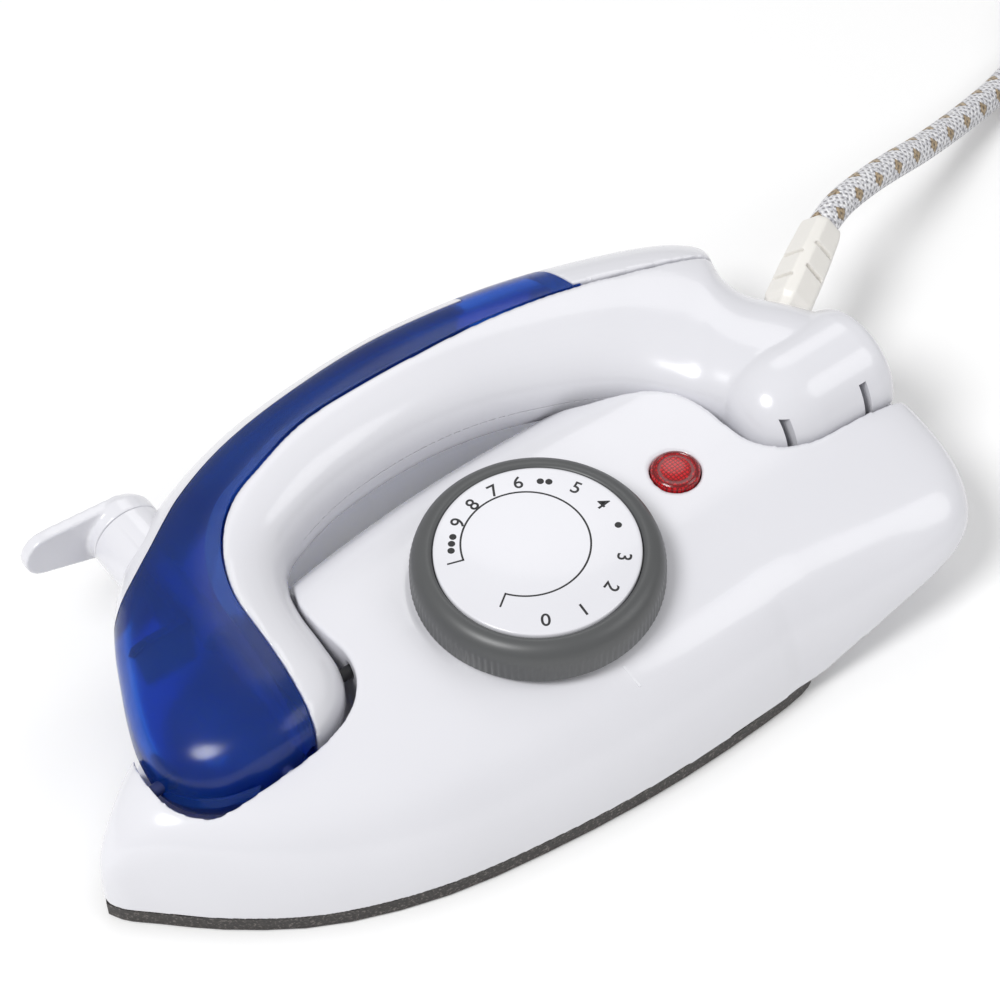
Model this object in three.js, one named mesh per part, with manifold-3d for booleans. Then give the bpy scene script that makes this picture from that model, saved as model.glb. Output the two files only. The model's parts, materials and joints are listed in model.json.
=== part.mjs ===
// Travel steam iron with a handle that folds flat beside the body.
// Millimetres, +Z up. The origin is the middle of the soleplate's ironing face,
// +X points to the heel, -X to the tip, and the handle lies folded towards +Y.
import * as THREE from 'three';
import { mergeVertices } from 'three/addons/utils/BufferGeometryUtils.js';
import Module from 'manifold-3d';

const wasm = await Module();
wasm.setup();

// ---------------------------------------------------------------- driving dimensions

const MESH_TOLERANCE = 0.02;      // finest detail kept in a mesh
const GAP = 0.3;                 // clearance between touching pieces
const RUN = 0.6;                 // clearance round moving pieces

const SOLE_TIP_X = -74.8;         // foremost point of the soleplate
const SOLE_HEEL_X = 74;          // straight rear edge of the soleplate
const SOLE_THICK = 4.6;          // ironing plate, edge to top
const HEEL_X = 123.5;            // rearmost point of the housing
const HEEL_RISE = 0.37;          // slope of the heel's underside
const WALL = 2.2;                // moulded wall of the housing
const KEEL_Z = 7.5;              // underside of the keel below the hinge
const KEEL_HALF = 16;
const HOUSING_Z = SOLE_THICK + GAP;

const DIAL = { x: 29, y: -5.6, top: 43, low: 34.2, ring: 26, disc: 21.3 };
const LAMP = { x: 68, y: -1.5, r: 5.2 };

const FOLD = { y: 2, z: 28.5 };  // axis of the folding handle, along X
const BARREL = { x0: 87, x1: 123, r: 13.8 };
const HANDLE_HALF = 12.4;        // half thickness of the handle
const SHELL = 2.2;               // moulded wall of the handle and tank
const STRIP = 1.8;               // spine strip, and the bed the tank leaves for it
const STRIP_BED = 2.3;
const PIN_R = 1.4;               // front stub pins
const AXLE_R = 4;                // hollow rear axle

const LEVER = { x: -29.5, z: FOLD.z, root: 58, end: 64, stem: 8 };
const LEVER_TURN = 0.24;         // the lever stands a little open
const VALVE_R = 1.6;             // drip valve rod inside the tank

const CORD_R = 3.4;
const COIL = { x: 279, y: 33, mid: 39, columns: 3, layers: 2 };
const PLUG = { x: 342, y: 30, length: 36, half: 12, blade: 17, spacing: 12.7 };

// ---------------------------------------------------------------- small helpers

const vec2 = (p) => new THREE.Vector2(p[0], p[1]);
const vec3 = (p) => new THREE.Vector3(p[0], p[1], p[2]);

// A closed geometry as a solid that can be joined and cut.
function solid(geometry) {
  const plain = geometry.index ? geometry.toNonIndexed() : geometry.clone();
  for (const key of ['normal', 'uv']) plain.deleteAttribute(key);
  const merged = mergeVertices(plain, 1e-4);
  return new wasm.Manifold(new wasm.Mesh({
    numProp: 3,
    vertProperties: new Float32Array(merged.attributes.position.array),
    triVerts: new Uint32Array(merged.index.array),
  }));
}

// The solid as it reads back from its own mesh, without slivers finer than the tolerance.
function settled(body) {
  let now = body.simplify(MESH_TOLERANCE);
  for (let pass = 0; pass < 6; pass += 1) {
    const mesh = now.getMesh();
    const next = new wasm.Manifold(new wasm.Mesh({
      numProp: 3,
      vertProperties: mesh.vertProperties.slice(),
      triVerts: mesh.triVerts.slice(),
    }));
    const same = Math.abs(next.volume() - now.volume()) < 1e-4;
    now = next;
    if (same) break;
  }
  return largest(now);
}

function largest(body) {
  const pieces = body.decompose();
  pieces.sort((a, b) => b.volume() - a.volume());
  return pieces[0];
}

// The solid back as a geometry.
function geometryOf(body) {
  const mesh = body.getMesh();
  const geometry = new THREE.BufferGeometry();
  const points = new Float32Array(mesh.numVert * 3);
  for (let i = 0; i < mesh.numVert; i += 1) {
    for (let k = 0; k < 3; k += 1) points[i * 3 + k] = mesh.vertProperties[i * mesh.numProp + k];
  }
  geometry.setAttribute('position', new THREE.BufferAttribute(points, 3));
  geometry.setIndex(new THREE.BufferAttribute(new Uint32Array(mesh.triVerts), 1));
  geometry.computeVertexNormals();
  return geometry;
}

// A skin through rings of equal length, closed by a fan at each end.
function loft(rings) {
  const n = rings[0].length;
  const points = rings.flat();
  const centre = (ring) => ring.reduce((sum, p) => sum.map((v, i) => v + p[i] / n), [0, 0, 0]);
  points.push(centre(rings[0]), centre(rings[rings.length - 1]));
  const faces = [];
  for (let r = 0; r + 1 < rings.length; r += 1) {
    for (let i = 0; i < n; i += 1) {
      const a = r * n + i;
      const b = r * n + (i + 1) % n;
      faces.push(a, b, b + n, a, b + n, a + n);
    }
  }
  const last = (rings.length - 1) * n;
  for (let i = 0; i < n; i += 1) {
    const j = (i + 1) % n;
    faces.push(points.length - 2, j, i);
    faces.push(points.length - 1, last + i, last + j);
  }
  const geometry = new THREE.BufferGeometry();
  geometry.setAttribute('position', new THREE.Float32BufferAttribute(points.flat(), 3));
  geometry.setIndex(faces);
  const body = solid(geometry);
  if (body.volume() > 0) return body;
  for (let i = 0; i < faces.length; i += 3) [faces[i], faces[i + 1]] = [faces[i + 1], faces[i]];
  geometry.setIndex(faces);
  return solid(geometry);
}

function box(size, at) {
  return solid(new THREE.BoxGeometry(...size).translate(...at));
}

// A round bar from one point to another.
function bar(from, to, radius, sides = 24, endRadius = radius) {
  const a = vec3(from);
  const b = vec3(to);
  const length = a.distanceTo(b);
  const geometry = new THREE.CylinderGeometry(endRadius, radius, length, sides);
  const turn = new THREE.Quaternion().setFromUnitVectors(
    new THREE.Vector3(0, 1, 0), b.clone().sub(a).normalize());
  geometry.applyQuaternion(turn);
  geometry.translate(...a.add(b).multiplyScalar(0.5).toArray());
  return solid(geometry);
}

// A ring or tube: a bar with a bore right through it.
function pipe(from, to, radius, bore, sides = 24) {
  const a = vec3(from);
  const over = vec3(to).sub(a).normalize();
  const start = a.clone().sub(over).toArray();
  const end = vec3(to).add(over).toArray();
  return bar(from, to, radius, sides).subtract(bar(start, end, bore, sides));
}

// A flat shape, given as a list of corners, pulled up from one height to another.
function prism(corners, low, high) {
  const shape = new THREE.Shape(corners.map(vec2));
  const geometry = new THREE.ExtrudeGeometry(shape, { depth: high - low, bevelEnabled: false });
  return solid(geometry.translate(0, 0, low));
}

// Points of a smooth closed or open curve through a few plan points.
function smooth(points, count, closed = false) {
  const curve = new THREE.CatmullRomCurve3(points.map((p) => vec3([p[0], p[1], 0])), closed, 'centripetal');
  const samples = curve.getPoints(count);
  if (closed) samples.pop();
  return samples.map((p) => [p.x, p.y]);
}

// A round tube that follows a route.
function tubeAlong(route, radius, sides, steps) {
  const section = new THREE.Shape();
  for (let i = 0; i < sides; i += 1) {
    const a = (i / sides) * Math.PI * 2;
    const p = [radius * Math.cos(a), radius * Math.sin(a)];
    if (i === 0) section.moveTo(...p);
    else section.lineTo(...p);
  }
  section.closePath();
  const path = new THREE.CatmullRomCurve3(route.map(vec3), false, 'centripetal');
  return solid(new THREE.ExtrudeGeometry(section, { steps, bevelEnabled: false, extrudePath: path }));
}

// A turned piece: [radius, height] pairs about +Z, then laid where it belongs.
function turned(profile, sides, place) {
  const geometry = new THREE.LatheGeometry(profile.map(vec2), sides);
  geometry.rotateX(Math.PI / 2);
  if (place) place(geometry);
  const body = solid(geometry);
  return body;
}

// Linear reading of a table of [station, value] pairs.
function along(table, x) {
  if (x <= table[0][0]) return table[0][1];
  for (let i = 1; i < table.length; i += 1) {
    const [x1, v1] = table[i];
    const [x0, v0] = table[i - 1];
    if (x <= x1) return v0 + ((v1 - v0) * (x - x0)) / (x1 - x0);
  }
  return table[table.length - 1][1];
}

// ---------------------------------------------------------------- materials and scene graph

const finish = (color, roughness, metalness = 0, extra = {}) =>
  () => new THREE.MeshStandardMaterial({ color, roughness, metalness, ...extra });
const whitePlastic = finish(0xf2f1f6, 0.25);
const greyPlastic = finish(0x6b6d70, 0.5);
const ivoryPlastic = finish(0xe9e4d6, 0.45);
const bluePlastic = finish(0x0c2f9c, 0.15, 0, { transparent: true, opacity: 0.75 });
const redLens = finish(0xb3101a, 0.2);
const coating = finish(0x4a4643, 0.55, 0.1);
const aluminium = finish(0xb9bbbd, 0.45, 0.9);
const steel = finish(0x9a9c9e, 0.35, 1);
const brass = finish(0xc4a24c, 0.35, 1);
const copper = finish(0xb8754a, 0.35, 1);
const blackPlastic = finish(0x232325, 0.6);
const ceramic = finish(0xe6e0d2, 0.7);
const rubber = finish(0x2b2b2d, 0.8);
const braid = finish(0xd9d6cf, 0.8);

const iron = new THREE.Group();
const fixed = new THREE.Group();
const dialGroup = new THREE.Group();
const handleGroup = new THREE.Group();
const leverGroup = new THREE.Group();
const cordGroup = new THREE.Group();
iron.add(fixed, dialGroup, handleGroup, cordGroup);
handleGroup.add(leverGroup);

function add(group, name, body, material) {
  const piece = settled(body);
  const mesh = new THREE.Mesh(geometryOf(piece), material());
  mesh.name = name;
  group.add(mesh);
  return piece;
}

// ---------------------------------------------------------------- soleplate and heating parts

// Half outline of the soleplate, tip to heel.
const SOLE_SIDE = [
  [SOLE_TIP_X, 0], [-73, 3.2], [-68.5, 7.6], [-58, 17.4], [-42, 28.6], [-20, 37.4],
  [5, 42.2], [32, 44.8], [58, 44.8], [70, 43.6], [73.2, 42], [SOLE_HEEL_X, 38.5],
];

function soleOutline(inset) {
  const side = smooth(SOLE_SIDE, 26);
  const shrink = (p) => {
    const x = Math.max(SOLE_TIP_X + inset * 1.7, Math.min(SOLE_HEEL_X - inset, p[0]));
    return [x, Math.max(0, p[1] - inset)];
  };
  const near = side.map(shrink).filter((p) => p[1] > 0.05);
  const tip = [SOLE_TIP_X + inset * 1.7, 0];
  const mirrored = near.map(([x, y]) => [x, -y]).reverse();
  return [tip, ...near, ...mirrored];
}

const STEAM_HOLES = [
  [-52, 0], [-42, 7], [-42, -7], [-30, 12], [-30, -12], [-17, 16], [-17, -16], [-36, 0],
];
const SCREW_POSTS = [[16, 12], [16, -19], [60, 0]];

function soleplate() {
  const lift = 0.5;
  const plate = loft([
    soleOutline(lift).map(([x, y]) => [x, y, 0]),
    soleOutline(0).map(([x, y]) => [x, y, lift]),
    soleOutline(0).map(([x, y]) => [x, y, SOLE_THICK]),
  ]);
  let body = plate;
  for (const [x, y] of STEAM_HOLES) body = body.subtract(bar([x, y, -1], [x, y, SOLE_THICK + 1], 1.4, 12));
  return body;
}

// Raised island on the plate that holds the element and walls the steam chamber.
const ISLAND_TOP = 10;
function heatingCasting() {
  const island = soleOutline(7).filter(([x]) => x < 66);
  const chamber = [[-54, 0], [-40, 15], [-10, 22], [12, 22], [12, -22], [-10, -22], [-40, -15]];
  const floor = SOLE_THICK + GAP;
  let body = prism(island, floor, ISLAND_TOP).subtract(prism(chamber, floor - 1, ISLAND_TOP + 1));
  body = body.subtract(tubeAlong(ELEMENT_ROUTE, ELEMENT_R + GAP, 8, 26));
  for (const [x, y] of SCREW_POSTS) body = body.subtract(bar([x, y, 5.4], [x, y, 12], 1.7, 10));
  const step = prism([[20, -30], [66, -30], [66, 30], [20, 30]], ELEMENT_Z, ISLAND_TOP + 1);
  return body.subtract(step);
}

const ELEMENT_R = 2.2;
const ELEMENT_Z = 7.7;
const ELEMENT_ROUTE = [
  [62, -17, ELEMENT_Z], [45, -23, ELEMENT_Z], [20, -27.5, ELEMENT_Z], [-10, -27, ELEMENT_Z],
  [-36, -20, ELEMENT_Z], [-52, -8.5, ELEMENT_Z], [-57.5, 0, ELEMENT_Z], [-52, 8.5, ELEMENT_Z],
  [-36, 20, ELEMENT_Z], [-10, 27, ELEMENT_Z], [20, 27.5, ELEMENT_Z], [45, 23, ELEMENT_Z],
  [62, 17, ELEMENT_Z],
];

function buildHeating() {
  add(fixed, 'soleplate', soleplate(), coating);
  add(fixed, 'heating_casting', heatingCasting(), aluminium);
  add(fixed, 'heating_element', tubeAlong(ELEMENT_ROUTE, ELEMENT_R - 0.1, 8, 26), steel);
  const chamberLid = [
    [-55, 0], [-41, 16], [-10, 23.4], [13.4, 23.4], [13.4, -23.4], [-10, -23.4], [-41, -16],
  ];
  const lid = prism(chamberLid, 10.3, 11.1).subtract(bar([-29.5, 2, 5], [-29.5, 2, 12], 2.6, 16));
  add(fixed, 'steam_chamber_cover', lid, steel);
  const shieldOutline = soleOutline(7.6).filter(([x]) => x < 66);
  let shield = prism(shieldOutline, 11.4, 12.1);
  shield = shield.subtract(bar([-29.5, 2, 5], [-29.5, 2, 15], 3.6, 16));
  shield = shield.subtract(bar([DIAL.x, DIAL.y, 5], [DIAL.x, DIAL.y, 15], 14, 28));
  for (const [x, y] of SCREW_POSTS) shield = shield.subtract(bar([x, y, 5], [x, y, 15], 1.9, 12));
  add(fixed, 'heat_shield', shield, steel);
  for (const [i, [x, y]] of SCREW_POSTS.entries()) {
    const screw = bar([x, y, 6], [x, y, 13], 1.3, 8).add(bar([x, y, 12.4], [x, y, 13.8], 2.6, 12));
    add(fixed, `shield_screw_${i + 1}`, screw.subtract(box([4, 0.8, 0.8], [x, y, 13.8])), steel);
  }
}

// ---------------------------------------------------------------- housing

// Crown height, and half widths of the left and right sides, by station along X.
const CROWN = [
  [-74.6, 12], [-73.4, 18.5], [-70.5, 23.6], [-66.5, 28], [-61, 31], [-50, 31.8], [-30, 32.6],
  [0, 34.2], [29, 35], [60, 34.6], [85, 33.6], [105, 32.2], [116, 30.6], [121, 28.6], [HEEL_X, 25.4],
];
const HEEL_SIDE = [
  [74, 44.8], [90, 45], [104, 45], [111, 43.8], [116, 40.6], [120, 34], [122.4, 24], [HEEL_X, 13],
];
// Section of a side, from the bottom edge up to the crown: share of width, share of height.
const LEFT_SECTION = [
  [1, 0], [0.992, 0.16], [0.972, 0.32], [0.935, 0.48], [0.87, 0.64], [0.78, 0.78],
  [0.66, 0.88], [0.5, 0.95], [0.3, 0.985], [0, 1],
];
const RIGHT_SECTION = [
  [1, 0], [0.965, 0.1], [0.905, 0.25], [0.835, 0.42], [0.76, 0.59], [0.69, 0.74],
  [0.61, 0.87], [0.49, 0.95], [0.3, 0.985], [0, 1],
];

function bottomAt(x) {
  return HOUSING_Z + Math.max(0, x - SOLE_HEEL_X) * HEEL_RISE;
}

function halfWidthAt(x) {
  if (x > 66) return along([[66, 44.5], ...HEEL_SIDE], x);
  return along(smooth(SOLE_SIDE, 60), x) + 0.4;
}

// Underside of the central keel that carries the hinge at the heel.
function keelAt(x) {
  return Math.min(bottomAt(x), KEEL_Z);
}

// One cross section of the housing at a station, shrunk by an inset; open ones have no floor.
function housingRing(x, inset, open = false) {
  const foot = bottomAt(x) + (open ? 0 : inset);
  const crown = along(CROWN, x) - inset;
  const half = Math.max(0.4, halfWidthAt(x) - inset);
  const left = LEFT_SECTION.map(([w, h]) => [x, -half * w, foot + (crown - foot) * h]);
  const right = RIGHT_SECTION.map(([w, h]) => [x, half * w, foot + (crown - foot) * h]);
  right.pop();
  const keelHalf = open ? half : Math.min(KEEL_HALF - inset, half * 0.5);
  const keel = open ? -4 : keelAt(x) + inset;
  return [[x, -keelHalf, keel], ...left, ...right.reverse(), [x, keelHalf, keel]];
}

const STATIONS = [
  -74.6, -73.4, -70.5, -66.5, -61, -54, -46, -36, -24, -12, 0, 14, 29, 44, 58, 70, 82, 92, 102,
  109, 114, 118, 121, HEEL_X,
];

// Rim of the front well and of the rear cradle, seen from above.
const FRONT_WELL = [
  [-10.6, 24.6], [-12.7, 19], [-13, 11], [-12.4, 3], [-14.2, -3], [-19, -8], [-27, -11],
  [-39, -12], [-48, -12], [-54.5, -10.6], [-58.8, -5.6], [-60, 1], [-59.2, 8], [-57.4, 13], [-56, 20],
];
const REAR_WELL = [
  [58, 34.6], [60.5, 31.6], [64.3, 27.4], [70.5, 24.4], [76, 21.6], [79.6, 18.8], [82.6, 14.6], [84.3, 9],
  [84.9, 2],
];
const WELL_FLOOR = 14.6;

// The nose of the barrel's cradle is turned about the fold axis.
const CRADLE = [
  [84.4, 0], [84.8, 4], [86, 7], [88, 9.8], [91, 12], [95, 13.7], [99, BARREL.r + RUN],
  [130, BARREL.r + RUN], [130, 0],
];

function cradleCut(extra) {
  const profile = CRADLE.map(([x, r]) => [Math.max(0, r + (r > 0 ? extra : 0)), x - (x < 100 ? extra : 0)]);
  return turned(profile, 30, (g) => g.rotateY(Math.PI / 2).translate(0, FOLD.y, FOLD.z));
}

// Room that the folded and the raised handle need, grown by an extra wall.
function handleRoom(extra) {
  const grow = (p, q) => [p[0] + q[0] * extra, p[1] + q[1] * extra];
  const front = FRONT_WELL.map((p) => grow(p, [p[0] > -36 ? 1 : -1, p[1] < -3 ? -1 : 0]));
  const rear = REAR_WELL.map((p) => grow(p, [-0.8, -0.6]));
  const floor = WELL_FLOOR - extra;
  let room = prism([[-8, 31], ...front, [-56 - extra, 70], [-2, 70]], floor, 60);
  const open = [...rear, [131, rear[rear.length - 1][1]], [131, 70], [58, 70]];
  room = room.add(prism(open, floor, 60));
  const aboveSize = [131 - 84.9 + extra, 2 * 12.6 + 2 * extra, 30];
  const above = box(aboveSize, [(131 + 84.9 - extra) / 2, FOLD.y, FOLD.z + 23]);
  return room.add(cradleCut(extra)).add(above);
}

function housing() {
  const outer = loft(STATIONS.map((x) => housingRing(x, 0)));
  const overSole = STATIONS
    .filter((x, i) => x > -72 && x < 72 && i % 2 === 0)
    .map((x) => housingRing(x, WALL, true));
  const overHeel = STATIONS.filter((x) => x > 80 && x < 120).map((x) => housingRing(x, WALL));
  const edge = SOLE_HEEL_X + 0.4;
  const step = [housingRing(edge, WALL, true), housingRing(edge + 0.2, WALL)];
  const inner = loft([...overSole, ...step, ...overHeel]);
  let body = outer.subtract(inner.subtract(handleRoom(WALL)));
  body = body.subtract(handleRoom(0));
  body = body.subtract(bar([DIAL.x, DIAL.y, 20], [DIAL.x, DIAL.y, 60], 5.6, 28));
  body = body.subtract(bar([DIAL.x, DIAL.y, DIAL.low - GAP], [DIAL.x, DIAL.y, 60], DIAL.ring + 0.8, 48));
  body = body.subtract(bar([LAMP.x, LAMP.y, 20], [LAMP.x, LAMP.y, 60], LAMP.r + 0.2, 32));
  body = body.subtract(bar([-61.6, FOLD.y, FOLD.z], [-8, FOLD.y, FOLD.z], PIN_R + 0.2, 20));
  body = body.subtract(bar([-29.5, FOLD.y, 5], [-29.5, FOLD.y, 20], 4.2, 20));
  for (const x of POST_X) body = body.subtract(box([POST_T + 0.6, 6.6, 10], [x, FOLD.y, 15]));
  for (const x of HEEL_SCREW_X) body = body.subtract(bar([x, FOLD.y, 5], [x, FOLD.y, 11], 1.7, 12));
  return largest(body.add(pointerMark()));
}

const POST_X = [93.2, 112.6];
const POST_T = 1.6;
const BRACKET_Z = 10;

// Raised line on the housing that the dial is read against.
function pointerMark() {
  return loft([[30.6, -31.2, 1.2], [31.4, -36, 1.2]].map(([x, y, wide]) => {
    const z = surfaceAt(x, y) + 0.35;
    return [
      [x - wide / 2, y, z - 1.4], [x + wide / 2, y, z - 1.4], [x + wide / 4, y, z],
      [x - wide / 4, y, z],
    ];
  }));
}

// Height of the housing's left side above a plan point.
function surfaceAt(x, y) {
  const share = Math.abs(y) / halfWidthAt(x);
  const low = bottomAt(x);
  for (let i = 1; i < LEFT_SECTION.length; i += 1) {
    const [w0, h0] = LEFT_SECTION[i - 1];
    const [w1, h1] = LEFT_SECTION[i];
    if (share >= w1) return low + (along(CROWN, x) - low) * (h0 + ((h1 - h0) * (w0 - share)) / (w0 - w1));
  }
  return along(CROWN, x);
}

const HEEL_SCREW_X = [99, 107];

function buildHousing() {
  add(fixed, 'body_housing', housing(), whitePlastic);
  for (const [i, x] of HEEL_SCREW_X.entries()) {
    const at = (z) => [x, FOLD.y, z];
    const screw = bar(at(5.9), at(11.4), 1.3, 10).add(bar(at(5.6), at(7.2), 2.7, 14));
    add(fixed, `heel_screw_${i + 1}`, screw.subtract(box([4, 0.8, 0.8], at(5.6))), steel);
  }
  const lens = turned([[0, 0], [LAMP.r, 0], [LAMP.r, 3.2], [LAMP.r - 0.6, 4], [0, 4.6]], 28,
    (g) => g.translate(LAMP.x, LAMP.y, 31.2));
  const cup = bar([LAMP.x, LAMP.y, 30], [LAMP.x, LAMP.y, 33.6], LAMP.r - 1.2, 24);
  add(fixed, 'lamp_lens', lens.subtract(cup), redLens);
  add(fixed, 'neon_lamp', bar([LAMP.x, LAMP.y, 22], [LAMP.x, LAMP.y, 30.8], 2.2, 14), finish(0xffc9a8, 0.1));
}

// ---------------------------------------------------------------- thermostat and dial

function buildThermostat() {
  const { x, y } = DIAL;
  const base = box([22, 14, 3], [x, y, 14.3]).add(bar([x, y, 8], [x, y, 20], 5.6, 20));
  add(fixed, 'thermostat_body', base.subtract(bar([x, y, 5], [x, y, 25], 3.4, 16)), ceramic);
  add(fixed, 'bimetal_blade', box([16, 3.4, 0.8], [x, y - 8.6, 11.3]), brass);
  add(fixed, 'contact_blade', box([18, 5, 0.6], [x + 20.6, y, 17.2]), copper);
  const spindle = bar([x, y, 13], [x, y, 40], 2.9, 20).subtract(box([8, 3, 8], [x, y + 3.6, 38.5]));
  add(dialGroup, 'thermostat_spindle', spindle, brass);
  add(dialGroup, 'dial_ring', dialRing(), greyPlastic);
  const discEdge = DIAL.disc - 0.3;
  const disc = turned([[0, 0], [discEdge, 0], [discEdge, 1.2], [discEdge - 0.6, 1.6], [0, 1.6]], 48,
    (g) => g.translate(x, y, DIAL.top - 1.3));
  add(dialGroup, 'dial_face', disc, whitePlastic);
  const clip = pipe([x, y, 35.6], [x, y, 37.2], 4.6, 3.2, 20).subtract(box([8, 1.2, 4], [x + 5, y, 36.4]));
  add(dialGroup, 'spindle_clip', clip, steel);
}

// Knob with fine ribs round its skirt and a rounded shoulder.
function dialRing() {
  const { x, y, ring, disc, top, low } = DIAL;
  const ribs = 36;
  const wave = 0.3;
  const outline = (r, depth) => {
    const points = [];
    for (let i = 0; i < ribs * 2; i += 1) {
      const a = (i / (ribs * 2)) * Math.PI * 2;
      const rr = r - (i % 2) * depth;
      points.push([x + rr * Math.cos(a), y + rr * Math.sin(a)]);
    }
    return points;
  };
  const at = (r, depth, z) => outline(r, depth).map(([px, py]) => [px, py, z]);
  let body = loft([
    at(ring, wave, low), at(ring, wave, top - 2.6), at(ring - 0.7, 0, top - 1), at(ring - 2.2, 0, top),
  ]);
  body = body.subtract(bar([x, y, top - 1.6], [x, y, top + 2], disc, 48));
  const skirt = bar([x, y, low - 1], [x, y, top - 3.6], ring - 2.2, 36);
  body = body.subtract(skirt.subtract(bar([x, y, low], [x, y, top], 7, 28)));
  return body.subtract(bar([x, y, low - 1], [x, y, 40.3], 3.2, 20)).subtract(
    bar([x, y, low - 1], [x, y, 37.5], 5, 20));
}

// ---------------------------------------------------------------- hinge parts

function buildHinge() {
  const { y, z } = FOLD;
  const middle = (POST_X[0] + POST_X[1]) / 2;
  let bracket = box([POST_X[1] - POST_X[0] + POST_T, 9, 1.5], [middle, y, BRACKET_Z + 0.75]);
  for (const x of POST_X) {
    const stem = box([POST_T, 6, z - BRACKET_Z], [x, y, (z + BRACKET_Z) / 2]);
    bracket = bracket.add(stem).add(bar([x - POST_T / 2, y, z], [x + POST_T / 2, y, z], 7, 20));
  }
  bracket = bracket.subtract(bar([POST_X[0] - 3, y, z], [POST_X[1] + 3, y, z], AXLE_R + GAP, 20));
  for (const x of HEEL_SCREW_X) bracket = bracket.subtract(bar([x, y, 5], [x, y, 14], 1.6, 12));
  add(fixed, 'hinge_bracket', bracket, steel);
  add(fixed, 'hinge_axle', pipe([90.6, y, z], [119, y, z], AXLE_R, 2.8, 20), steel);
  add(fixed, 'front_pin_nose', bar([-61.2, y, z], [-53, y, z], PIN_R, 14), steel);
  add(fixed, 'front_pin_rear', bar([-19, y, z], [-10.4, y, z], PIN_R, 14), steel);
  const seal = pipe([-29.5, y, 12.4], [-29.5, y, 15.2], 4, 1.8, 16);
  add(fixed, 'inlet_seal', seal, rubber);
}

// ---------------------------------------------------------------- electrical parts

function buildWiring() {
  const block = box([16, 24, 7], [80, -20, 15.6]);
  let terminals = block;
  for (const y of [-27, -20, -13]) {
    terminals = terminals.subtract(bar([70, y, 15.8], [90, y, 15.8], 1.8, 12));
  }
  add(fixed, 'terminal_block', terminals, ceramic);
  add(fixed, 'thermal_fuse', bar([54, 22, 15.5], [66, 22, 15.5], 2, 14), aluminium);
  const wire = (name, route, material) => add(fixed, name, tubeAlong(route, 1.2, 6, 10), material);
  wire('live_wire', [[71.4, -27, 15.8], [62, -27, 16], [52, -22, 17], [44, -18, 18]], finish(0x6b4226, 0.6));
  const neutralRun = [[71.4, -13, 15.8], [62, -10, 14.6], [50, 6, 14.2], [51, 20, 15.6]];
  wire('neutral_wire', neutralRun, finish(0x2a5caa, 0.6));
  wire('earth_wire', [[71.4, -20, 15.8], [66, -19, 17], [60, -16, 16], [56, -14, 14]], finish(0x5f9a3c, 0.6));
}

// ---------------------------------------------------------------- handle

// Across the handle, station by station: inner point and outer point in plan, and half thickness.
const HANDLE_ACROSS = [
  [[-32, -9.8], [-42, -9.8], 5],
  [[-25, -8.6], [-49.5, -7.8], 8.6],
  [[-18.6, -4.8], [-54.8, -3.6], 10.8],
  [[-15, 1], [-57.6, 2.2], 11.7],
  [[-13.9, 9], [-57.2, 10.4], 12.1],
  [[-13.4, 17], [-54.6, 19], HANDLE_HALF],
  [[-12, 23.6], [-51.6, 26], HANDLE_HALF],
  [[-9, 29.2], [-48, 33.6], HANDLE_HALF],
  [[-4.4, 33.2], [-43, 41.6], HANDLE_HALF],
  [[3, 36.3], [-35, 49.6], HANDLE_HALF],
  [[11, 38.4], [-21, 58.2], HANDLE_HALF],
  [[15.6, 39], [-11.6, 62], HANDLE_HALF],
  [[20, 39.4], [-2, 64.9], HANDLE_HALF],
  [[25, 39.6], [8, 66.8], HANDLE_HALF],
  [[30, 39.6], [18, 67.8], HANDLE_HALF],
  [[35, 39.3], [28, 68.5], HANDLE_HALF],
  [[40, 38.7], [38, 68.6], HANDLE_HALF],
  [[45, 37.7], [47.6, 68], HANDLE_HALF],
  [[50, 36.4], [57, 66.8], HANDLE_HALF],
  [[60, 32.6], [74, 63.4], HANDLE_HALF],
  [[69, 28.4], [90, 58.4], HANDLE_HALF],
  [[77, 22.6], [103, 53.4], 12],
  [[81, 17.6], [110, 49.2], 11.8],
  [[84, 13], [113.4, 44.6], 11.6],
  [[86.4, 8], [111, 36], 11.8],
  [[89, 2], [111.6, 28.6], 12],
  [[93, -3.4], [117.4, 20], 12.4],
  [[97, -7.6], [121.6, 12], 12.2],
  [[101, -9.4], [122, 4], 11.8],
];
const RING_SIDES = 18;

// Oval between the inner and outer point, squarer where the exponent is higher.
function handleRing([inner, outer, half], inset, power = 2.25) {
  const mid = [(inner[0] + outer[0]) / 2, (inner[1] + outer[1]) / 2];
  const reach = Math.hypot(outer[0] - inner[0], outer[1] - inner[1]) / 2;
  const dir = [(outer[0] - inner[0]) / reach / 2, (outer[1] - inner[1]) / reach / 2];
  const ring = [];
  for (let i = 0; i < RING_SIDES; i += 1) {
    const a = ((i + 0.5) / RING_SIDES) * Math.PI * 2;
    const c = Math.sign(Math.cos(a)) * Math.abs(Math.cos(a)) ** (2 / power);
    const s = Math.sign(Math.sin(a)) * Math.abs(Math.sin(a)) ** (2 / power);
    const u = Math.max(1, reach - inset) * c;
    ring.push([mid[0] + dir[0] * u, mid[1] + dir[1] * u, FOLD.z + Math.max(1, half - inset) * s]);
  }
  return ring;
}

// Barrel at the rear end of the handle, turned about the fold axis.
function barrel(inset) {
  const r = BARREL.r - inset;
  const profile = [
    [0, BARREL.x0 + inset], [r * 0.35, BARREL.x0 + inset * 0.8 + 0.4], [r * 0.62, 89 + inset * 0.6],
    [r * 0.84, 92.4 + inset * 0.3], [r * 0.96, 97], [r, 101], [r, 117 - inset],
    [r * 0.93, 120.4 - inset], [r * 0.6, BARREL.x1 - inset], [0, BARREL.x1 + 0.6 - inset],
  ];
  return turned(profile, 30, (g) => g.rotateY(Math.PI / 2).translate(0, FOLD.y, FOLD.z));
}

function handleForm(inset) {
  return loft(HANDLE_ACROSS.map((row) => handleRing(row, inset))).add(barrel(inset));
}

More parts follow.
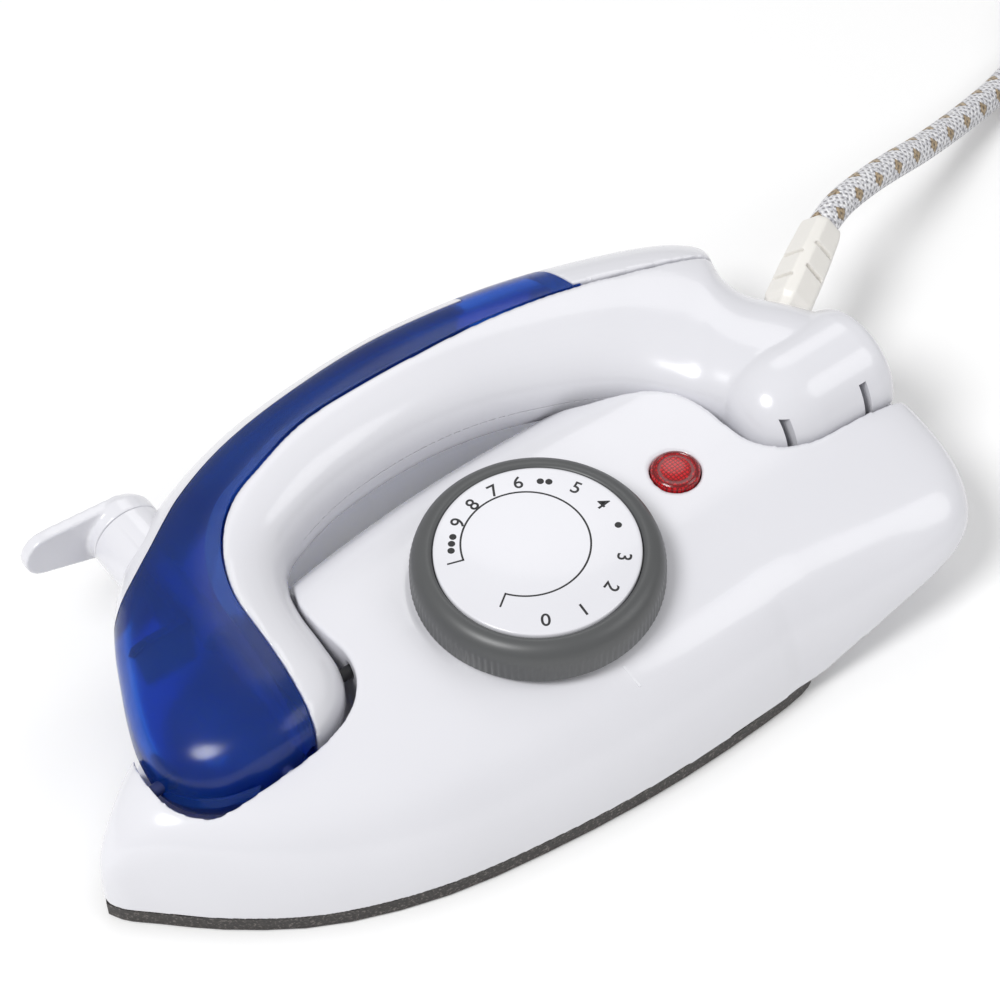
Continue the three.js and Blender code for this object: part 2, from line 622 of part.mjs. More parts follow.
// Plan lines that divide the handle: tank and grip, spine strip and rear cap.
const TANK_GRIP = [
  [-30, -14], [-28, -7], [-26.8, 0], [-26, 6], [-25.4, 13], [-24.6, 24], [-21.8, 32.4], [-17.4, 39.2],
  [-11, 44.8], [-3, 48.2], [10.5, 52.6], [25.4, 53.6], [41.9, 53.2], [56.7, 52.2], [70.7, 50], [81, 47.4],
];
const SPINE_INNER = [
  [-51, 34.2], [-46, 37], [-42, 39.4], [-37, 41.8], [-31, 45.2], [-24.6, 49.4], [-19.4, 52.6],
  [-5.4, 58.2], [15.9, 62], [34.9, 63.2], [52, 61.6], [59, 60.6],
];
const CAP_SEAM = [[79.4, 48.1], [95, 43.4], [109, 39.4], [122, 36]];

function lineRegion(line, closing) {
  return prism([...smooth(line, line.length), ...closing], -5, 70);
}

function buildHandle() {
  const skin = handleForm(0);
  const core = handleForm(SHELL);
  const tankSide = lineRegion(TANK_GRIP, [[78, 58], [76, 90], [-90, 90], [-90, -14]]);
  const spineSide = lineRegion(SPINE_INNER, [[59.4, 90], [-90, 90], [-62, 33.6]]);
  const capSide = lineRegion(CAP_SEAM, [[122, 90], [76.3, 90], [78.3, 58]]);
  const shift = (body, dx, dy) => body.translate([dx, dy, 0]);
  const upper = box([300, 200, 40], [0, 0, FOLD.z + 20 + GAP / 2]);
  const lower = box([300, 200, 40], [0, 0, FOLD.z - 20 - GAP / 2]);
  const hollow = skin.subtract(core);

  // Grip: everything on the inner side, with the barrel.
  const outerZone = tankSide.add(shift(tankSide, 0.3, -0.3)).add(capSide).add(shift(capSide, -0.1, -0.3));
  let grip = hollow.subtract(outerZone);
  const wallZone = tankSide.add(shift(tankSide, 2.2, -1.6));
  grip = grip.add(core.intersect(wallZone).subtract(outerZone));
  for (const x of AXLE_WEBS) {
    const web = bar([x, FOLD.y, FOLD.z], [x + 2, FOLD.y, FOLD.z], BARREL.r - 1, 24).intersect(skin);
    grip = grip.add(web.subtract(bar([x - 1, FOLD.y, FOLD.z], [x + 3, FOLD.y, FOLD.z], AXLE_R + GAP, 20)));
  }
  for (const x of POST_X) grip = grip.subtract(slotCut(x));
  grip = grip.subtract(bar([-22, FOLD.y, FOLD.z], [-8, FOLD.y, FOLD.z], PIN_R + 0.25, 16));
  grip = grip.subtract(bar([104, 14, FOLD.z], [124, 25.5, FOLD.z], 4.3, 20));
  grip = grip.subtract(leverRoom());
  for (const [x, y] of HANDLE_SCREWS) {
    grip = grip.add(bar([x, y, FOLD.z - 14], [x, y, FOLD.z + 14], 3.2, 14).intersect(skin));
    grip = grip.subtract(bar([x, y, 0], [x, y, FOLD.z + 7], 1.7, 12));
    grip = grip.subtract(bar([x, y, 0], [x, y, FOLD.z - 9], 2.9, 14));
  }
  add(handleGroup, 'grip_upper', grip.intersect(upper), whitePlastic);
  add(handleGroup, 'grip_lower', grip.intersect(lower), whitePlastic);
  for (const [i, [x, y]] of HANDLE_SCREWS.entries()) {
    const screw = bar([x, y, FOLD.z - 9.2], [x, y, FOLD.z + 5], 1.4, 10).add(
      bar([x, y, FOLD.z - 10.8], [x, y, FOLD.z - 9], 2.6, 14));
    add(handleGroup, `handle_screw_${i + 1}`, screw, steel);
  }

  // Tank: two welded halves with an open seam between them.
  const boss = bar([LEVER.x, 44, LEVER.z], [LEVER.x, LEVER.root - GAP, LEVER.z], LEVER.stem, 32);
  let tank = skin.intersect(tankSide).subtract(spineSide.intersect(skin.subtract(handleForm(STRIP_BED))));
  tank = tank.subtract(capSide);
  const cavity = handleForm(SHELL + STRIP_BED).intersect(shift(tankSide, -2.6, 2));
  const cavityFront = core.intersect(shift(tankSide, -2.6, 2)).subtract(
    shift(spineSide, 1.2, -1.8)).subtract(shift(capSide, -2.6, 0));
  tank = tank.subtract(cavity.add(cavityFront).subtract(shift(capSide, -2.6, 0)));
  tank = tank.subtract(leverRoom()).subtract(boss.subtract(handleForm(STRIP_BED - 0.2)));
  tank = tank.subtract(bar([-64, FOLD.y, FOLD.z], [-51, FOLD.y, FOLD.z], PIN_R + 0.25, 16));
  const tankUpper = add(handleGroup, 'tank_upper', tank.intersect(upper), bluePlastic);
  const tankLower = add(handleGroup, 'tank_lower', tank.intersect(lower), bluePlastic);

  // Spine strip along the outer edge, and the rear cap behind the tank.
  const band = skin.subtract(handleForm(STRIP)).intersect(shift(spineSide, -0.1, 0.35));
  const strip = band.add(boss.subtract(handleForm(STRIP))).subtract(leverRoom());
  add(handleGroup, 'spine_strip', strip.subtract(tankUpper).subtract(tankLower), whitePlastic);
  const cap = hollow.intersect(shift(capSide, 0.3, 0.3));
  add(handleGroup, 'rear_cap', cap, whitePlastic);
}

const AXLE_WEBS = [97, 106];
const HANDLE_SCREWS = [[-19.6, 14], [46, 45], [94, 31]];

// Slot in the barrel for a hinge post: it lets the barrel turn a quarter turn round it.
function slotCut(x) {
  const ring = pipe([x - 1.1, FOLD.y, FOLD.z], [x + 1.1, FOLD.y, FOLD.z], BARREL.r + 3, 3, 40);
  const keepAbove = box([10, 40, 20], [x, FOLD.y, FOLD.z + 18.6]);
  const keep = keepAbove.add(box([10, 20, 60], [x, FOLD.y + 14.4, FOLD.z]));
  const inside = bar([x - 1.1, FOLD.y, FOLD.z], [x + 1.1, FOLD.y, FOLD.z], 8, 32);
  return ring.subtract(keep).add(inside);
}

// Clear way through the handle for the lever's stem and the valve rod.
function leverRoom() {
  return bar([LEVER.x, -20, LEVER.z], [LEVER.x, 70, LEVER.z], VALVE_R + 0.3, 16);
}

function buildLever() {
  const { x, z, root, end, stem } = LEVER;
  const tall = end - root;
  const knobProfile = [
    [0, 0], [stem, 0], [stem, tall - 2.4], [stem - 1, tall - 0.6], [stem - 3, tall], [0, tall],
  ];
  const knob = turned(knobProfile, 36, (g) => g.rotateX(-Math.PI / 2).translate(x, root, z));
  const wing = [];
  const steps = 8;
  for (let i = 0; i <= steps; i += 1) {
    const a = Math.PI / 2 + (i / steps) * Math.PI;
    wing.push([-17.5 + 5.2 * Math.cos(a), 5.2 * Math.sin(a)]);
  }
  const shape = new THREE.Shape([...wing, [0, -7.4], [0, 7.4]].map(vec2));
  const plate = new THREE.ExtrudeGeometry(shape, { depth: 2.6, bevelEnabled: false });
  plate.rotateX(Math.PI / 2).rotateY(LEVER_TURN).translate(x, end - 0.6, z);
  add(leverGroup, 'steam_lever', knob.add(solid(plate)), whitePlastic);
  add(leverGroup, 'valve_rod', bar([x, -7.4, z], [x, root - GAP, z], VALVE_R, 12), steel);
}

// ---------------------------------------------------------------- cord

const RELIEF_FROM = [109, 16.8, FOLD.z];
const RELIEF_TO = [140.4, 36, FOLD.z];
const CORD_ROUTE = [
  [141, 36.4, 28.5], [146, 38.6, 28.3], [151, 40.4, 27.6], [161.7, 43.3, 25], [172, 46, 21.5],
  [182.3, 48.8, 17.4], [197.5, 53.4, 12], [213.5, 58.4, 7.2], [220.5, 60.8, 5.4], [230, 64.3, 3.9],
  [238.8, 67.9, 3.5],
];
const TAIL_ROUTE = [
  [313.4, 74.2, 4.9], [323.6, 67, 3.6], [332, 57.4, 3.6], [338.4, 48, 4.6], [341.7, 39, 8],
  [PLUG.x, PLUG.y + 0.6, 9],
];

function relief() {
  const square = (r, at, chop) => {
    const dir = vec3(RELIEF_TO).sub(vec3(RELIEF_FROM)).normalize();
    const side = new THREE.Vector3(-dir.y, dir.x, 0);
    const corners = [
      [1, chop], [chop, 1], [-chop, 1], [-1, chop], [-1, -chop], [-chop, -1], [chop, -1], [1, -chop],
    ];
    return corners.map(([u, w]) =>
       at.clone().addScaledVector(side, u * r).add(new THREE.Vector3(0, 0, w * r)).toArray());
  };
  const a = vec3(RELIEF_FROM);
  const b = vec3(RELIEF_TO);
  const at = (t) => a.clone().lerp(b, t);
  let body = loft([
    square(3.7, at(0), 0.5), square(3.7, at(0.3), 0.5), square(4.7, at(0.34), 0.62),
    square(4.5, at(0.75), 0.62), square(4.1, at(1), 0.62),
  ]);
  const dir = b.clone().sub(a).normalize();
  const end = b.clone().add(dir);
  const start = a.clone().sub(dir);
  body = body.subtract(bar(start.toArray(), end.toArray(), 2.2, 16));
  return body;
}

// Coil of the stored length: columns of turns beside each other, layers on top of each other.
function coil() {
  const wide = COIL.columns * CORD_R;
  const high = COIL.layers * 2 * CORD_R;
  const inner = COIL.mid - wide;
  const outer = COIL.mid + wide;
  const soft = 2;
  const profile = [
    [inner, soft], [inner + soft, 0], [outer - soft, 0], [outer, soft], [outer, high - soft],
    [outer - soft, high], [inner + soft, high], [inner, high - soft], [inner, soft],
  ];
  return turned(profile, 40, (g) => g.translate(COIL.x, COIL.y, 0));
}

function coilTie() {
  const wide = COIL.columns * CORD_R + GAP + 0.6;
  const high = COIL.layers * 2 * CORD_R + GAP;
  const at = [COIL.x - COIL.mid, COIL.y, high / 2 - 0.6];
  const thick = 1.2;
  const band = box([2 * wide + 2 * thick, 10, high + 0.6 + thick], [at[0], at[1], (high + 0.6 + thick) / 2]);
  return band.subtract(box([2 * wide, 14, high + 1], [at[0], at[1], (high - 1) / 2]));
}

function plugBody() {
  const { x, y, length, half } = PLUG;
  const z = 9;
  const corners = [
    [1, 0.55], [0.6, 1], [-0.6, 1], [-1, 0.55], [-1, -0.55], [-0.6, -1], [0.6, -1], [1, -0.55],
  ];
  const ring = (w, h, back) => corners.map(([u, v]) => [x + u * w, y - back, z + v * h]);
  return loft([
    ring(4.2, 4.2, 0), ring(5, 4.8, 8), ring(half - 3, 7, 13), ring(half, 8.4, 18),
    ring(half, 8.6, length - 1), ring(half - 1, 8, length),
  ]);
}


function buildCord() {
  add(handleGroup, 'strain_relief', relief().subtract(handleForm(-0.3).subtract(
    bar([104, 14, FOLD.z], [124, 25.5, FOLD.z], 4.1, 20))), ivoryPlastic);
  add(cordGroup, 'cord', tubeAlong(CORD_ROUTE, CORD_R, 10, 12), braid);
  add(cordGroup, 'cord_coil', coil(), braid);
  add(cordGroup, 'cord_tie', coilTie(), blackPlastic);
  add(cordGroup, 'cord_tail', tubeAlong(TAIL_ROUTE, CORD_R, 10, 7), braid);
  add(cordGroup, 'plug_body', plugBody(), ivoryPlastic);
  for (const side of [-1, 1]) {
    const at = [PLUG.x + (side * PLUG.spacing) / 2, PLUG.y - PLUG.length - GAP - PLUG.blade / 2, 9];
    add(cordGroup, side < 0 ? 'plug_blade_left' : 'plug_blade_right', box([1.5, PLUG.blade, 6.3], at), brass);
  }
}

buildHeating();
buildHousing();
buildThermostat();
buildHinge();
buildWiring();
buildHandle();
buildLever();
buildCord();

export default iron;
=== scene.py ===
"""Looks of a folding travel steam iron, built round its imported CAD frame."""

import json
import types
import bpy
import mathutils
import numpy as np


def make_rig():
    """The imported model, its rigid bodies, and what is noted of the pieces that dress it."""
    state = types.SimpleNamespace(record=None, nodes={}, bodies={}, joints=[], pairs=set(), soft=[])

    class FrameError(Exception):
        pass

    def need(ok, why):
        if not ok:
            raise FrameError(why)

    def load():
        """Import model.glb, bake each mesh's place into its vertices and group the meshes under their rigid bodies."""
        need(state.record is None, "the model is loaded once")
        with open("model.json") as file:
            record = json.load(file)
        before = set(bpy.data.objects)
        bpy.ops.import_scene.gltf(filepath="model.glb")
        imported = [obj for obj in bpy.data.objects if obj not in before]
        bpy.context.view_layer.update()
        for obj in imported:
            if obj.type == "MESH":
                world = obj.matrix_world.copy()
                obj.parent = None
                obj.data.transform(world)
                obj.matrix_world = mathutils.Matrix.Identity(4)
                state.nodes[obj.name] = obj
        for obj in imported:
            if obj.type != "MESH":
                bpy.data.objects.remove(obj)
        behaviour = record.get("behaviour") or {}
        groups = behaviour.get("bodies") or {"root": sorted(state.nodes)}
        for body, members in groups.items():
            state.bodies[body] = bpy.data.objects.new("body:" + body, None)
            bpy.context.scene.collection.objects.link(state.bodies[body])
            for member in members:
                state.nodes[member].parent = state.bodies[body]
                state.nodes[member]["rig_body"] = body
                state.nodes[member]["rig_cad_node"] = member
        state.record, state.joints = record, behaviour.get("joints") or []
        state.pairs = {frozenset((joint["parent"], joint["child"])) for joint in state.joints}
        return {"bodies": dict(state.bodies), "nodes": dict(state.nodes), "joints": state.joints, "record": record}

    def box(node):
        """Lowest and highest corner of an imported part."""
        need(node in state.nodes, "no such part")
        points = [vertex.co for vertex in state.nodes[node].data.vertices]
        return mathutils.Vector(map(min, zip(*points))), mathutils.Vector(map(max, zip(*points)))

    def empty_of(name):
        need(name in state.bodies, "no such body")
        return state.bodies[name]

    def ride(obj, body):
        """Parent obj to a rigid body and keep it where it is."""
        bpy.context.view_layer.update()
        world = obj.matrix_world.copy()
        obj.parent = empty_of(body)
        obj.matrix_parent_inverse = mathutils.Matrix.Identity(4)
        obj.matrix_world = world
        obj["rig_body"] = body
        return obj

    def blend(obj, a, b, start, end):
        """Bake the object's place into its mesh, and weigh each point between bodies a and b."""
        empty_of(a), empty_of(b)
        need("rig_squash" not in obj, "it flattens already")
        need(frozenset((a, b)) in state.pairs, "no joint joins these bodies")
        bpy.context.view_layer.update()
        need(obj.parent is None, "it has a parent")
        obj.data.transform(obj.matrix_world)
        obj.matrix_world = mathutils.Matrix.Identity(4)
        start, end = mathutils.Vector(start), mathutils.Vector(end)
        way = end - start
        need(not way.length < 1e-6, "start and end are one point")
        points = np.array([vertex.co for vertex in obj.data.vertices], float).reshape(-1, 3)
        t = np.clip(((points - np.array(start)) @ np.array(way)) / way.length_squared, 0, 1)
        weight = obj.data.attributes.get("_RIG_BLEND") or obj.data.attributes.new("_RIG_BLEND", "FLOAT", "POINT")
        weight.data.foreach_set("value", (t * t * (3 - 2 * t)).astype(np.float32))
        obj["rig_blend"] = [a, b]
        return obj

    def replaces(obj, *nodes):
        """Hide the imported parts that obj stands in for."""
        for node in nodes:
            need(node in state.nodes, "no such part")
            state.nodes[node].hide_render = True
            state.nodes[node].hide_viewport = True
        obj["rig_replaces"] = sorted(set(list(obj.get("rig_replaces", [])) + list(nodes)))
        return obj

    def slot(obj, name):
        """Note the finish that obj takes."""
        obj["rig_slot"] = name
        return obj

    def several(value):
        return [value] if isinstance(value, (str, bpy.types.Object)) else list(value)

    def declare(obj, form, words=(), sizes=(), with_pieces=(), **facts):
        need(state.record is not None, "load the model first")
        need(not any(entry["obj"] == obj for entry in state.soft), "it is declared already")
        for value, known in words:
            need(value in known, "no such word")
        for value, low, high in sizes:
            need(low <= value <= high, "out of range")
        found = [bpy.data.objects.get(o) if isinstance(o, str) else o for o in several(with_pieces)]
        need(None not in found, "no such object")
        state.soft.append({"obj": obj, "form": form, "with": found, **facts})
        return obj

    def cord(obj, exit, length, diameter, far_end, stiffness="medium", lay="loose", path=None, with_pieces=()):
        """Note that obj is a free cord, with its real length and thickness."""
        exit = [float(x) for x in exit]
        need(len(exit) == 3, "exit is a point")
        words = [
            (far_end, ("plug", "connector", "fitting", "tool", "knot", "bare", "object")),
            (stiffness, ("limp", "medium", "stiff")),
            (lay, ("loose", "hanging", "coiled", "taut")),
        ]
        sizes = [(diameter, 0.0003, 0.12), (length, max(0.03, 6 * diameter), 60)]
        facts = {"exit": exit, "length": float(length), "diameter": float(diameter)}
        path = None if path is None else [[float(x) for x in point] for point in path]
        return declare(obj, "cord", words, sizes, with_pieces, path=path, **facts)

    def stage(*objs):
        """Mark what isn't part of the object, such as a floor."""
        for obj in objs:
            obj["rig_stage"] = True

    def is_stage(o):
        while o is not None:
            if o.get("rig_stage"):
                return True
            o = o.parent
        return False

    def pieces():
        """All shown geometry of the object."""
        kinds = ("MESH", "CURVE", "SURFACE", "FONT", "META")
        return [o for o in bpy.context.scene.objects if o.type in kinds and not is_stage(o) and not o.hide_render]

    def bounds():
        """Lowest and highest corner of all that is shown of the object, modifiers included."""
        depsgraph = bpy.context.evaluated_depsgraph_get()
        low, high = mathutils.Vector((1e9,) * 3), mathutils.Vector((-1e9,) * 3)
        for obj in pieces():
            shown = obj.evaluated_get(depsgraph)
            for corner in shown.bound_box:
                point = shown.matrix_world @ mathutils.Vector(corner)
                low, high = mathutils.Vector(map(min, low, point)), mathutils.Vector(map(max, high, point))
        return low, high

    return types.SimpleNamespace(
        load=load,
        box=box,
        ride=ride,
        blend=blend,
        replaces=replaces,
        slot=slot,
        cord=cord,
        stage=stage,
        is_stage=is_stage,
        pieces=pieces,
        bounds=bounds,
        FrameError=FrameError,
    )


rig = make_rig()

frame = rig.load()

import json
import math

import bmesh
import bpy
from mathutils import Matrix, Vector

CAD_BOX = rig.bounds()
MM = 0.001
SIZE_FILE = "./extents.json"

# ------------------------------------------------------------------ dimensions, in millimetres

GAP = 0.3                  # seam between touching mouldings
SOLE_HEEL_X = 74
HOUSING_Z = 4.9
HEEL_RISE = 0.37
KEEL_Z = 7.5
KEEL_HALF = 16
WALL = 2.2
FOLD_Y, FOLD_Z = 2, 28.5   # axis of the folding handle, along X
WELL_FLOOR = 14.6
BARREL_R = 13.8
CRADLE_R = 14.4
HANDLE_HALF = 12.4
POST_X = (93.2, 112.6)
DIAL_X, DIAL_Y, DIAL_TOP, DIAL_LOW = 29, -5.6, 43, 34.2
DIAL_R, DISC_R = 26, 21.3
LAMP_X, LAMP_Y, LAMP_R = 68, -1.5, 5.2
LEVER_X, LEVER_ROOT, LEVER_R = -29.5, 58, 8
CORD_R = 3.4
PIN_R = 1.38
AXLE_BORE_R = 4.3
LEVER_BORE_R = 1.9
SLOT_HALF = 0.95           # half the width of a slot for a hinge post
SLOT_BLOCK = 5             # half the length of the cutters that bound a slot
COIL_X, COIL_Y = 279, 33
PLUG_X, PLUG_Y = 342, 30

SOLE_SIDE = [
    (-74.8, 0), (-73, 3.2), (-68.5, 7.6), (-58, 17.4), (-42, 28.6), (-20, 37.4), (5, 42.2),
    (32, 44.8), (58, 44.8), (66, 44.5),
]
HEEL_SIDE = [
    (74, 44.8), (90, 45), (104, 45), (111, 43.8), (116, 40.6), (120, 34), (122.4, 24), (123.5, 13),
]
CROWN = [
    (-74.6, 12), (-73.4, 18.5), (-70.5, 23.6), (-66.5, 28), (-61, 31), (-50, 31.8), (-30, 32.6),
    (0, 34.2), (29, 35), (60, 34.6), (85, 33.6), (105, 32.2), (116, 30.6), (121, 28.6), (123.5, 25.4),
]
LEFT_SECTION = [
    (1, 0), (0.992, 0.16), (0.972, 0.32), (0.935, 0.48), (0.87, 0.64), (0.78, 0.78), (0.66, 0.88),
    (0.5, 0.95), (0.3, 0.985), (0, 1),
]
RIGHT_SECTION = [
    (1, 0), (0.965, 0.1), (0.905, 0.25), (0.835, 0.42), (0.76, 0.59), (0.69, 0.74), (0.61, 0.87),
    (0.49, 0.95), (0.3, 0.985), (0, 1),
]
FRONT_WELL = [
    (-10.6, 24.6), (-12.7, 19), (-13, 11), (-12.4, 3), (-14.2, -3), (-19, -8), (-27, -11),
    (-39, -12), (-48, -12), (-54.5, -10.6), (-58.8, -5.6), (-60, 1), (-59.2, 8), (-57.4, 13), (-56, 20),
]
REAR_WELL = [
    (58, 34.6), (60.5, 31.6), (64.3, 27.4), (70.5, 24.4), (76, 21.6), (79.6, 18.8), (82.6, 14.6),
    (84.3, 9), (84.9, 2),
]
CRADLE = [(84.4, 0), (84.8, 4), (86, 7), (88, 9.8), (91, 12), (95, 13.7), (99, CRADLE_R), (130, CRADLE_R)]
# Across the handle: inner point, outer point and half thickness.
HANDLE_ACROSS = [
    (-32, -9.8, -42, -9.8, 5), (-25, -8.6, -49.5, -7.8, 8.6), (-18.6, -4.8, -54.8, -3.6, 10.8),
    (-15, 1, -57.6, 2.2, 11.7), (-13.9, 9, -57.2, 10.4, 12.1), (-13.4, 17, -54.6, 19, HANDLE_HALF),
    (-12, 23.6, -51.6, 26, HANDLE_HALF), (-9, 29.2, -48, 33.6, HANDLE_HALF),
    (-4.4, 33.2, -43, 41.6, HANDLE_HALF), (3, 36.3, -35, 49.6, HANDLE_HALF),
    (11, 38.4, -21, 58.2, HANDLE_HALF), (20, 39.4, -2, 64.9, HANDLE_HALF),
    (30, 39.6, 18, 67.8, HANDLE_HALF), (40, 38.7, 38, 68.6, HANDLE_HALF),
    (50, 36.4, 57, 66.8, HANDLE_HALF), (60, 32.6, 74, 63.4, HANDLE_HALF),
    (69, 28.4, 90, 58.4, HANDLE_HALF), (77, 22.6, 103, 53.4, 12), (81, 17.6, 110, 49.2, 11.8),
    (84, 13, 113.4, 44.6, 11.6), (86.4, 8, 111, 36, 11.8), (89, 2, 111.6, 28.6, 12),
    (93, -3.4, 117.4, 20, 12.4), (97, -7.6, 121.6, 12, 12.2), (101, -9.4, 122, 4, 11.8),
]
TANK_GRIP = [
    (-30, -14), (-28, -7), (-26.8, 0), (-26, 6), (-25.4, 13), (-24.6, 24), (-21.8, 32.4), (-17.4, 39.2),
    (-11, 44.8), (-3, 48.2), (10.5, 52.6), (25.4, 53.6), (41.9, 53.2), (56.7, 52.2), (70.7, 50), (81, 47.4),
]
SPINE_INNER = [
    (-51, 34.2), (-46, 37), (-42, 39.4), (-37, 41.8), (-31, 45.2), (-24.6, 49.4), (-19.4, 52.6),
    (-5.4, 58.2), (15.9, 62), (34.9, 63.2), (52, 61.6), (59, 60.6),
]
CAP_SEAM = [(79.4, 48.1), (95, 43.4), (109, 39.4), (122, 36)]
CORD_ROUTE = [
    (141, 36.4, 28.5), (146, 38.6, 28.3), (151, 40.4, 27.6), (161.7, 43.3, 25), (172, 46, 21.5),
    (182.3, 48.8, 17.4), (197.5, 53.4, 12), (213.5, 58.4, 7.2), (220.5, 60.8, 5.4), (230, 64.3, 3.9),
    (238.8, 67.9, 3.5),
]
LEAD_STILL = (226, 20, 28)   # from here on the folding handle no longer moves the cord
TAIL_ROUTE = [
    (314.3, 75.1, 4.9), (323.6, 67, 3.6), (332, 57.4, 3.6), (338.4, 48, 4.6), (341.7, 39, 8),
    (PLUG_X, PLUG_Y + 0.6, 9),
]

# ------------------------------------------------------------------ camera

LENS = 108
CAMERA_TURN = math.radians(-35.5)
CAMERA_RISE = math.radians(52)
CAMERA_ROLL = math.radians(1.7)
CAMERA_AWAY = 600
CAMERA_SIDE, CAMERA_LIFT = -7.52, 10


def make_camera():
    """Camera aimed at the dial, then shifted to frame the iron."""
    low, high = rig.box("dial_ring")
    aim = Vector(((low.x + high.x) / 2, (low.y + high.y) / 2, high.z))
    a, e, r = CAMERA_TURN, CAMERA_RISE, CAMERA_ROLL
    back = Vector((math.sin(a) * math.cos(e), -math.cos(a) * math.cos(e), math.sin(e)))
    level = Vector((math.cos(a), math.sin(a), 0))
    rise = back.cross(level)
    right = level * math.cos(r) - rise * math.sin(r)
    up = level * math.sin(r) + rise * math.cos(r)
    place = aim + (right * CAMERA_SIDE + up * CAMERA_LIFT + back * CAMERA_AWAY) * MM
    data = bpy.data.cameras.new("camera")
    data.lens = LENS
    data.sensor_width = 36
    data.clip_start = 0.01
    data.clip_end = 20
    camera = bpy.data.objects.new("camera", data)
    camera.matrix_world = Matrix((
        (right.x, up.x, back.x, place.x), (right.y, up.y, back.y, place.y),
        (right.z, up.z, back.z, place.z), (0, 0, 0, 1)))
    bpy.context.scene.collection.objects.link(camera)
    bpy.context.scene.camera = camera


# ------------------------------------------------------------------ lines

def smooth_line(points, steps):
    """Centripetal spline through points of any size, with steps pieces to each stretch."""
    rows = [tuple(map(float, p)) for p in points]
    first = tuple(2 * a - b for a, b in zip(rows[0], rows[1]))
    last = tuple(2 * a - b for a, b in zip(rows[-1], rows[-2]))
    rows = [first, *rows, last]
    out = []
    for i in range(1, len(rows) - 2):
        p = rows[i - 1:i + 3]
        t = [0.0]
        for a, b in zip(p, p[1:]):
            t.append(t[-1] + max(1e-6, math.dist(a, b)) ** 0.5)
        for k in range(steps):
            u = t[1] + (t[2] - t[1]) * k / steps
            level = p
            for width in (1, 2):
                level = [
                    tuple(((t[j + width] - u) * x + (u - t[j]) * y) / (t[j + width] - t[j])
                          for x, y in zip(level[j], level[j + 1]))
                    for j in range(len(level) - 1)
                ]
            level = tuple(((t[2] - u) * x + (u - t[1]) * y) / (t[2] - t[1]) for x, y in zip(*level))
            out.append(level)
    out.append(rows[-2])
    return out


def reading(table, x):
    """Value at x in a table of pairs, straight between them and level past its ends."""
    if x <= table[0][0]:
        return table[0][1]
    for (x0, v0), (x1, v1) in zip(table, table[1:]):
        if x <= x1:
            return v0 + (v1 - v0) * (x - x0) / (x1 - x0)
    return table[-1][1]


# ------------------------------------------------------------------ meshes

def mesh_object(name, points, faces):
    data = bpy.data.meshes.new(name)
    data.from_pydata([Vector(p) * MM for p in points], [], faces)
    bm = bmesh.new()
    bm.from_mesh(data)
    bmesh.ops.recalc_face_normals(bm, faces=bm.faces)
    bm.to_mesh(data)
    bm.free()
    made = bpy.data.objects.new(name, data)
    bpy.context.scene.collection.objects.link(made)
    return made


def loft(name, rings, closed=False):
    """Skin through rings of equal length: capped at both ends, or joined round."""
    n = len(rings[0])
    points = [p for ring in rings for p in ring]
    faces = []
    last = len(rings) if closed else len(rings) - 1
    for r in range(last):
        for i in range(n):
            a, b = r * n + i, r * n + (i + 1) % n
            c = ((r + 1) % len(rings)) * n
            faces.append((a, b, c + (i + 1) % n, c + i))
    if not closed:
        faces.append(tuple(range(n)))
        faces.append(tuple((len(rings) - 1) * n + i for i in reversed(range(n))))
    return mesh_object(name, points, faces)


def prism(name, outline, low, high):
    """Upright solid over an outline."""
    return loft(name, [[(x, y, low) for x, y in outline], [(x, y, high) for x, y in outline]])


AXIS_R = 0.01              # radius of the small ring that stands for a point on the axis


def lathe(name, profile, sides, place):
    """Turned solid: (radius, height) pairs from axis to axis, each point placed by place(x, y, z)."""
    turns = [math.tau * i / sides for i in range(sides)]
    rings = [[place(max(r, AXIS_R) * math.cos(t), max(r, AXIS_R) * math.sin(t), h) for t in turns]
             for r, h in profile]
    return loft(name, rings)


def upright(x0, y0):
    """Places a turned solid on an upright axis."""
    return lambda x, y, z: (x + x0, y + y0, z)


def along_fold(x, y, z):
    """Places a turned solid on the handle's fold axis."""
    return (z, FOLD_Y + x, FOLD_Z + y)


def rod(name, a, b, radius, sides=32):
    """Round bar from a to b."""
    a, b = Vector(a), Vector(b)
    turn = (b - a).to_track_quat("Z", "Y")
    angles = [math.tau * i / sides for i in range(sides)]
    spots = [Vector((radius * math.cos(t), radius * math.sin(t), 0)) for t in angles]
    return loft(name, [[tuple(a + turn @ s) for s in spots], [tuple(b + turn @ s) for s in spots]])


def block(name, low, high):
    """Box between two corners."""
    (x0, y0, z0), (x1, y1, z1) = low, high
    return prism(name, [(x0, y0), (x1, y0), (x1, y1), (x0, y1)], z0, z1)


def applied(piece):
    """Bakes a piece's modifiers into its mesh."""
    graph = bpy.context.evaluated_depsgraph_get()
    data = bpy.data.meshes.new_from_object(piece.evaluated_get(graph))
    piece.modifiers.clear()
    piece.data = data
    return piece


def combine(target, cutter, operation, keep=False):
    """Boolean of target with cutter, which is removed unless it is kept."""
    modifier = target.modifiers.new("combine", "BOOLEAN")
    modifier.operation = operation
    modifier.solver = "MANIFOLD"
    modifier.object = cutter
    applied(target)
    if not keep:
        bpy.data.objects.remove(cutter)
    return target


def cut(target, cutter, keep=False):
    return combine(target, cutter, "DIFFERENCE", keep)


def join(target, other):
    return combine(target, other, "UNION")


def common(target, other, keep=False):
    return combine(target, other, "INTERSECT", keep)


def copy_of(piece, name):
    made = bpy.data.objects.new(name, piece.data.copy())
    bpy.context.scene.collection.objects.link(made)
    return made


def shifted(piece, dx, dy):
    """Copy of a piece, moved level."""
    made = copy_of(piece, "shifted")
    made.data.transform(Matrix.Translation((dx * MM, dy * MM, 0)))
    return made


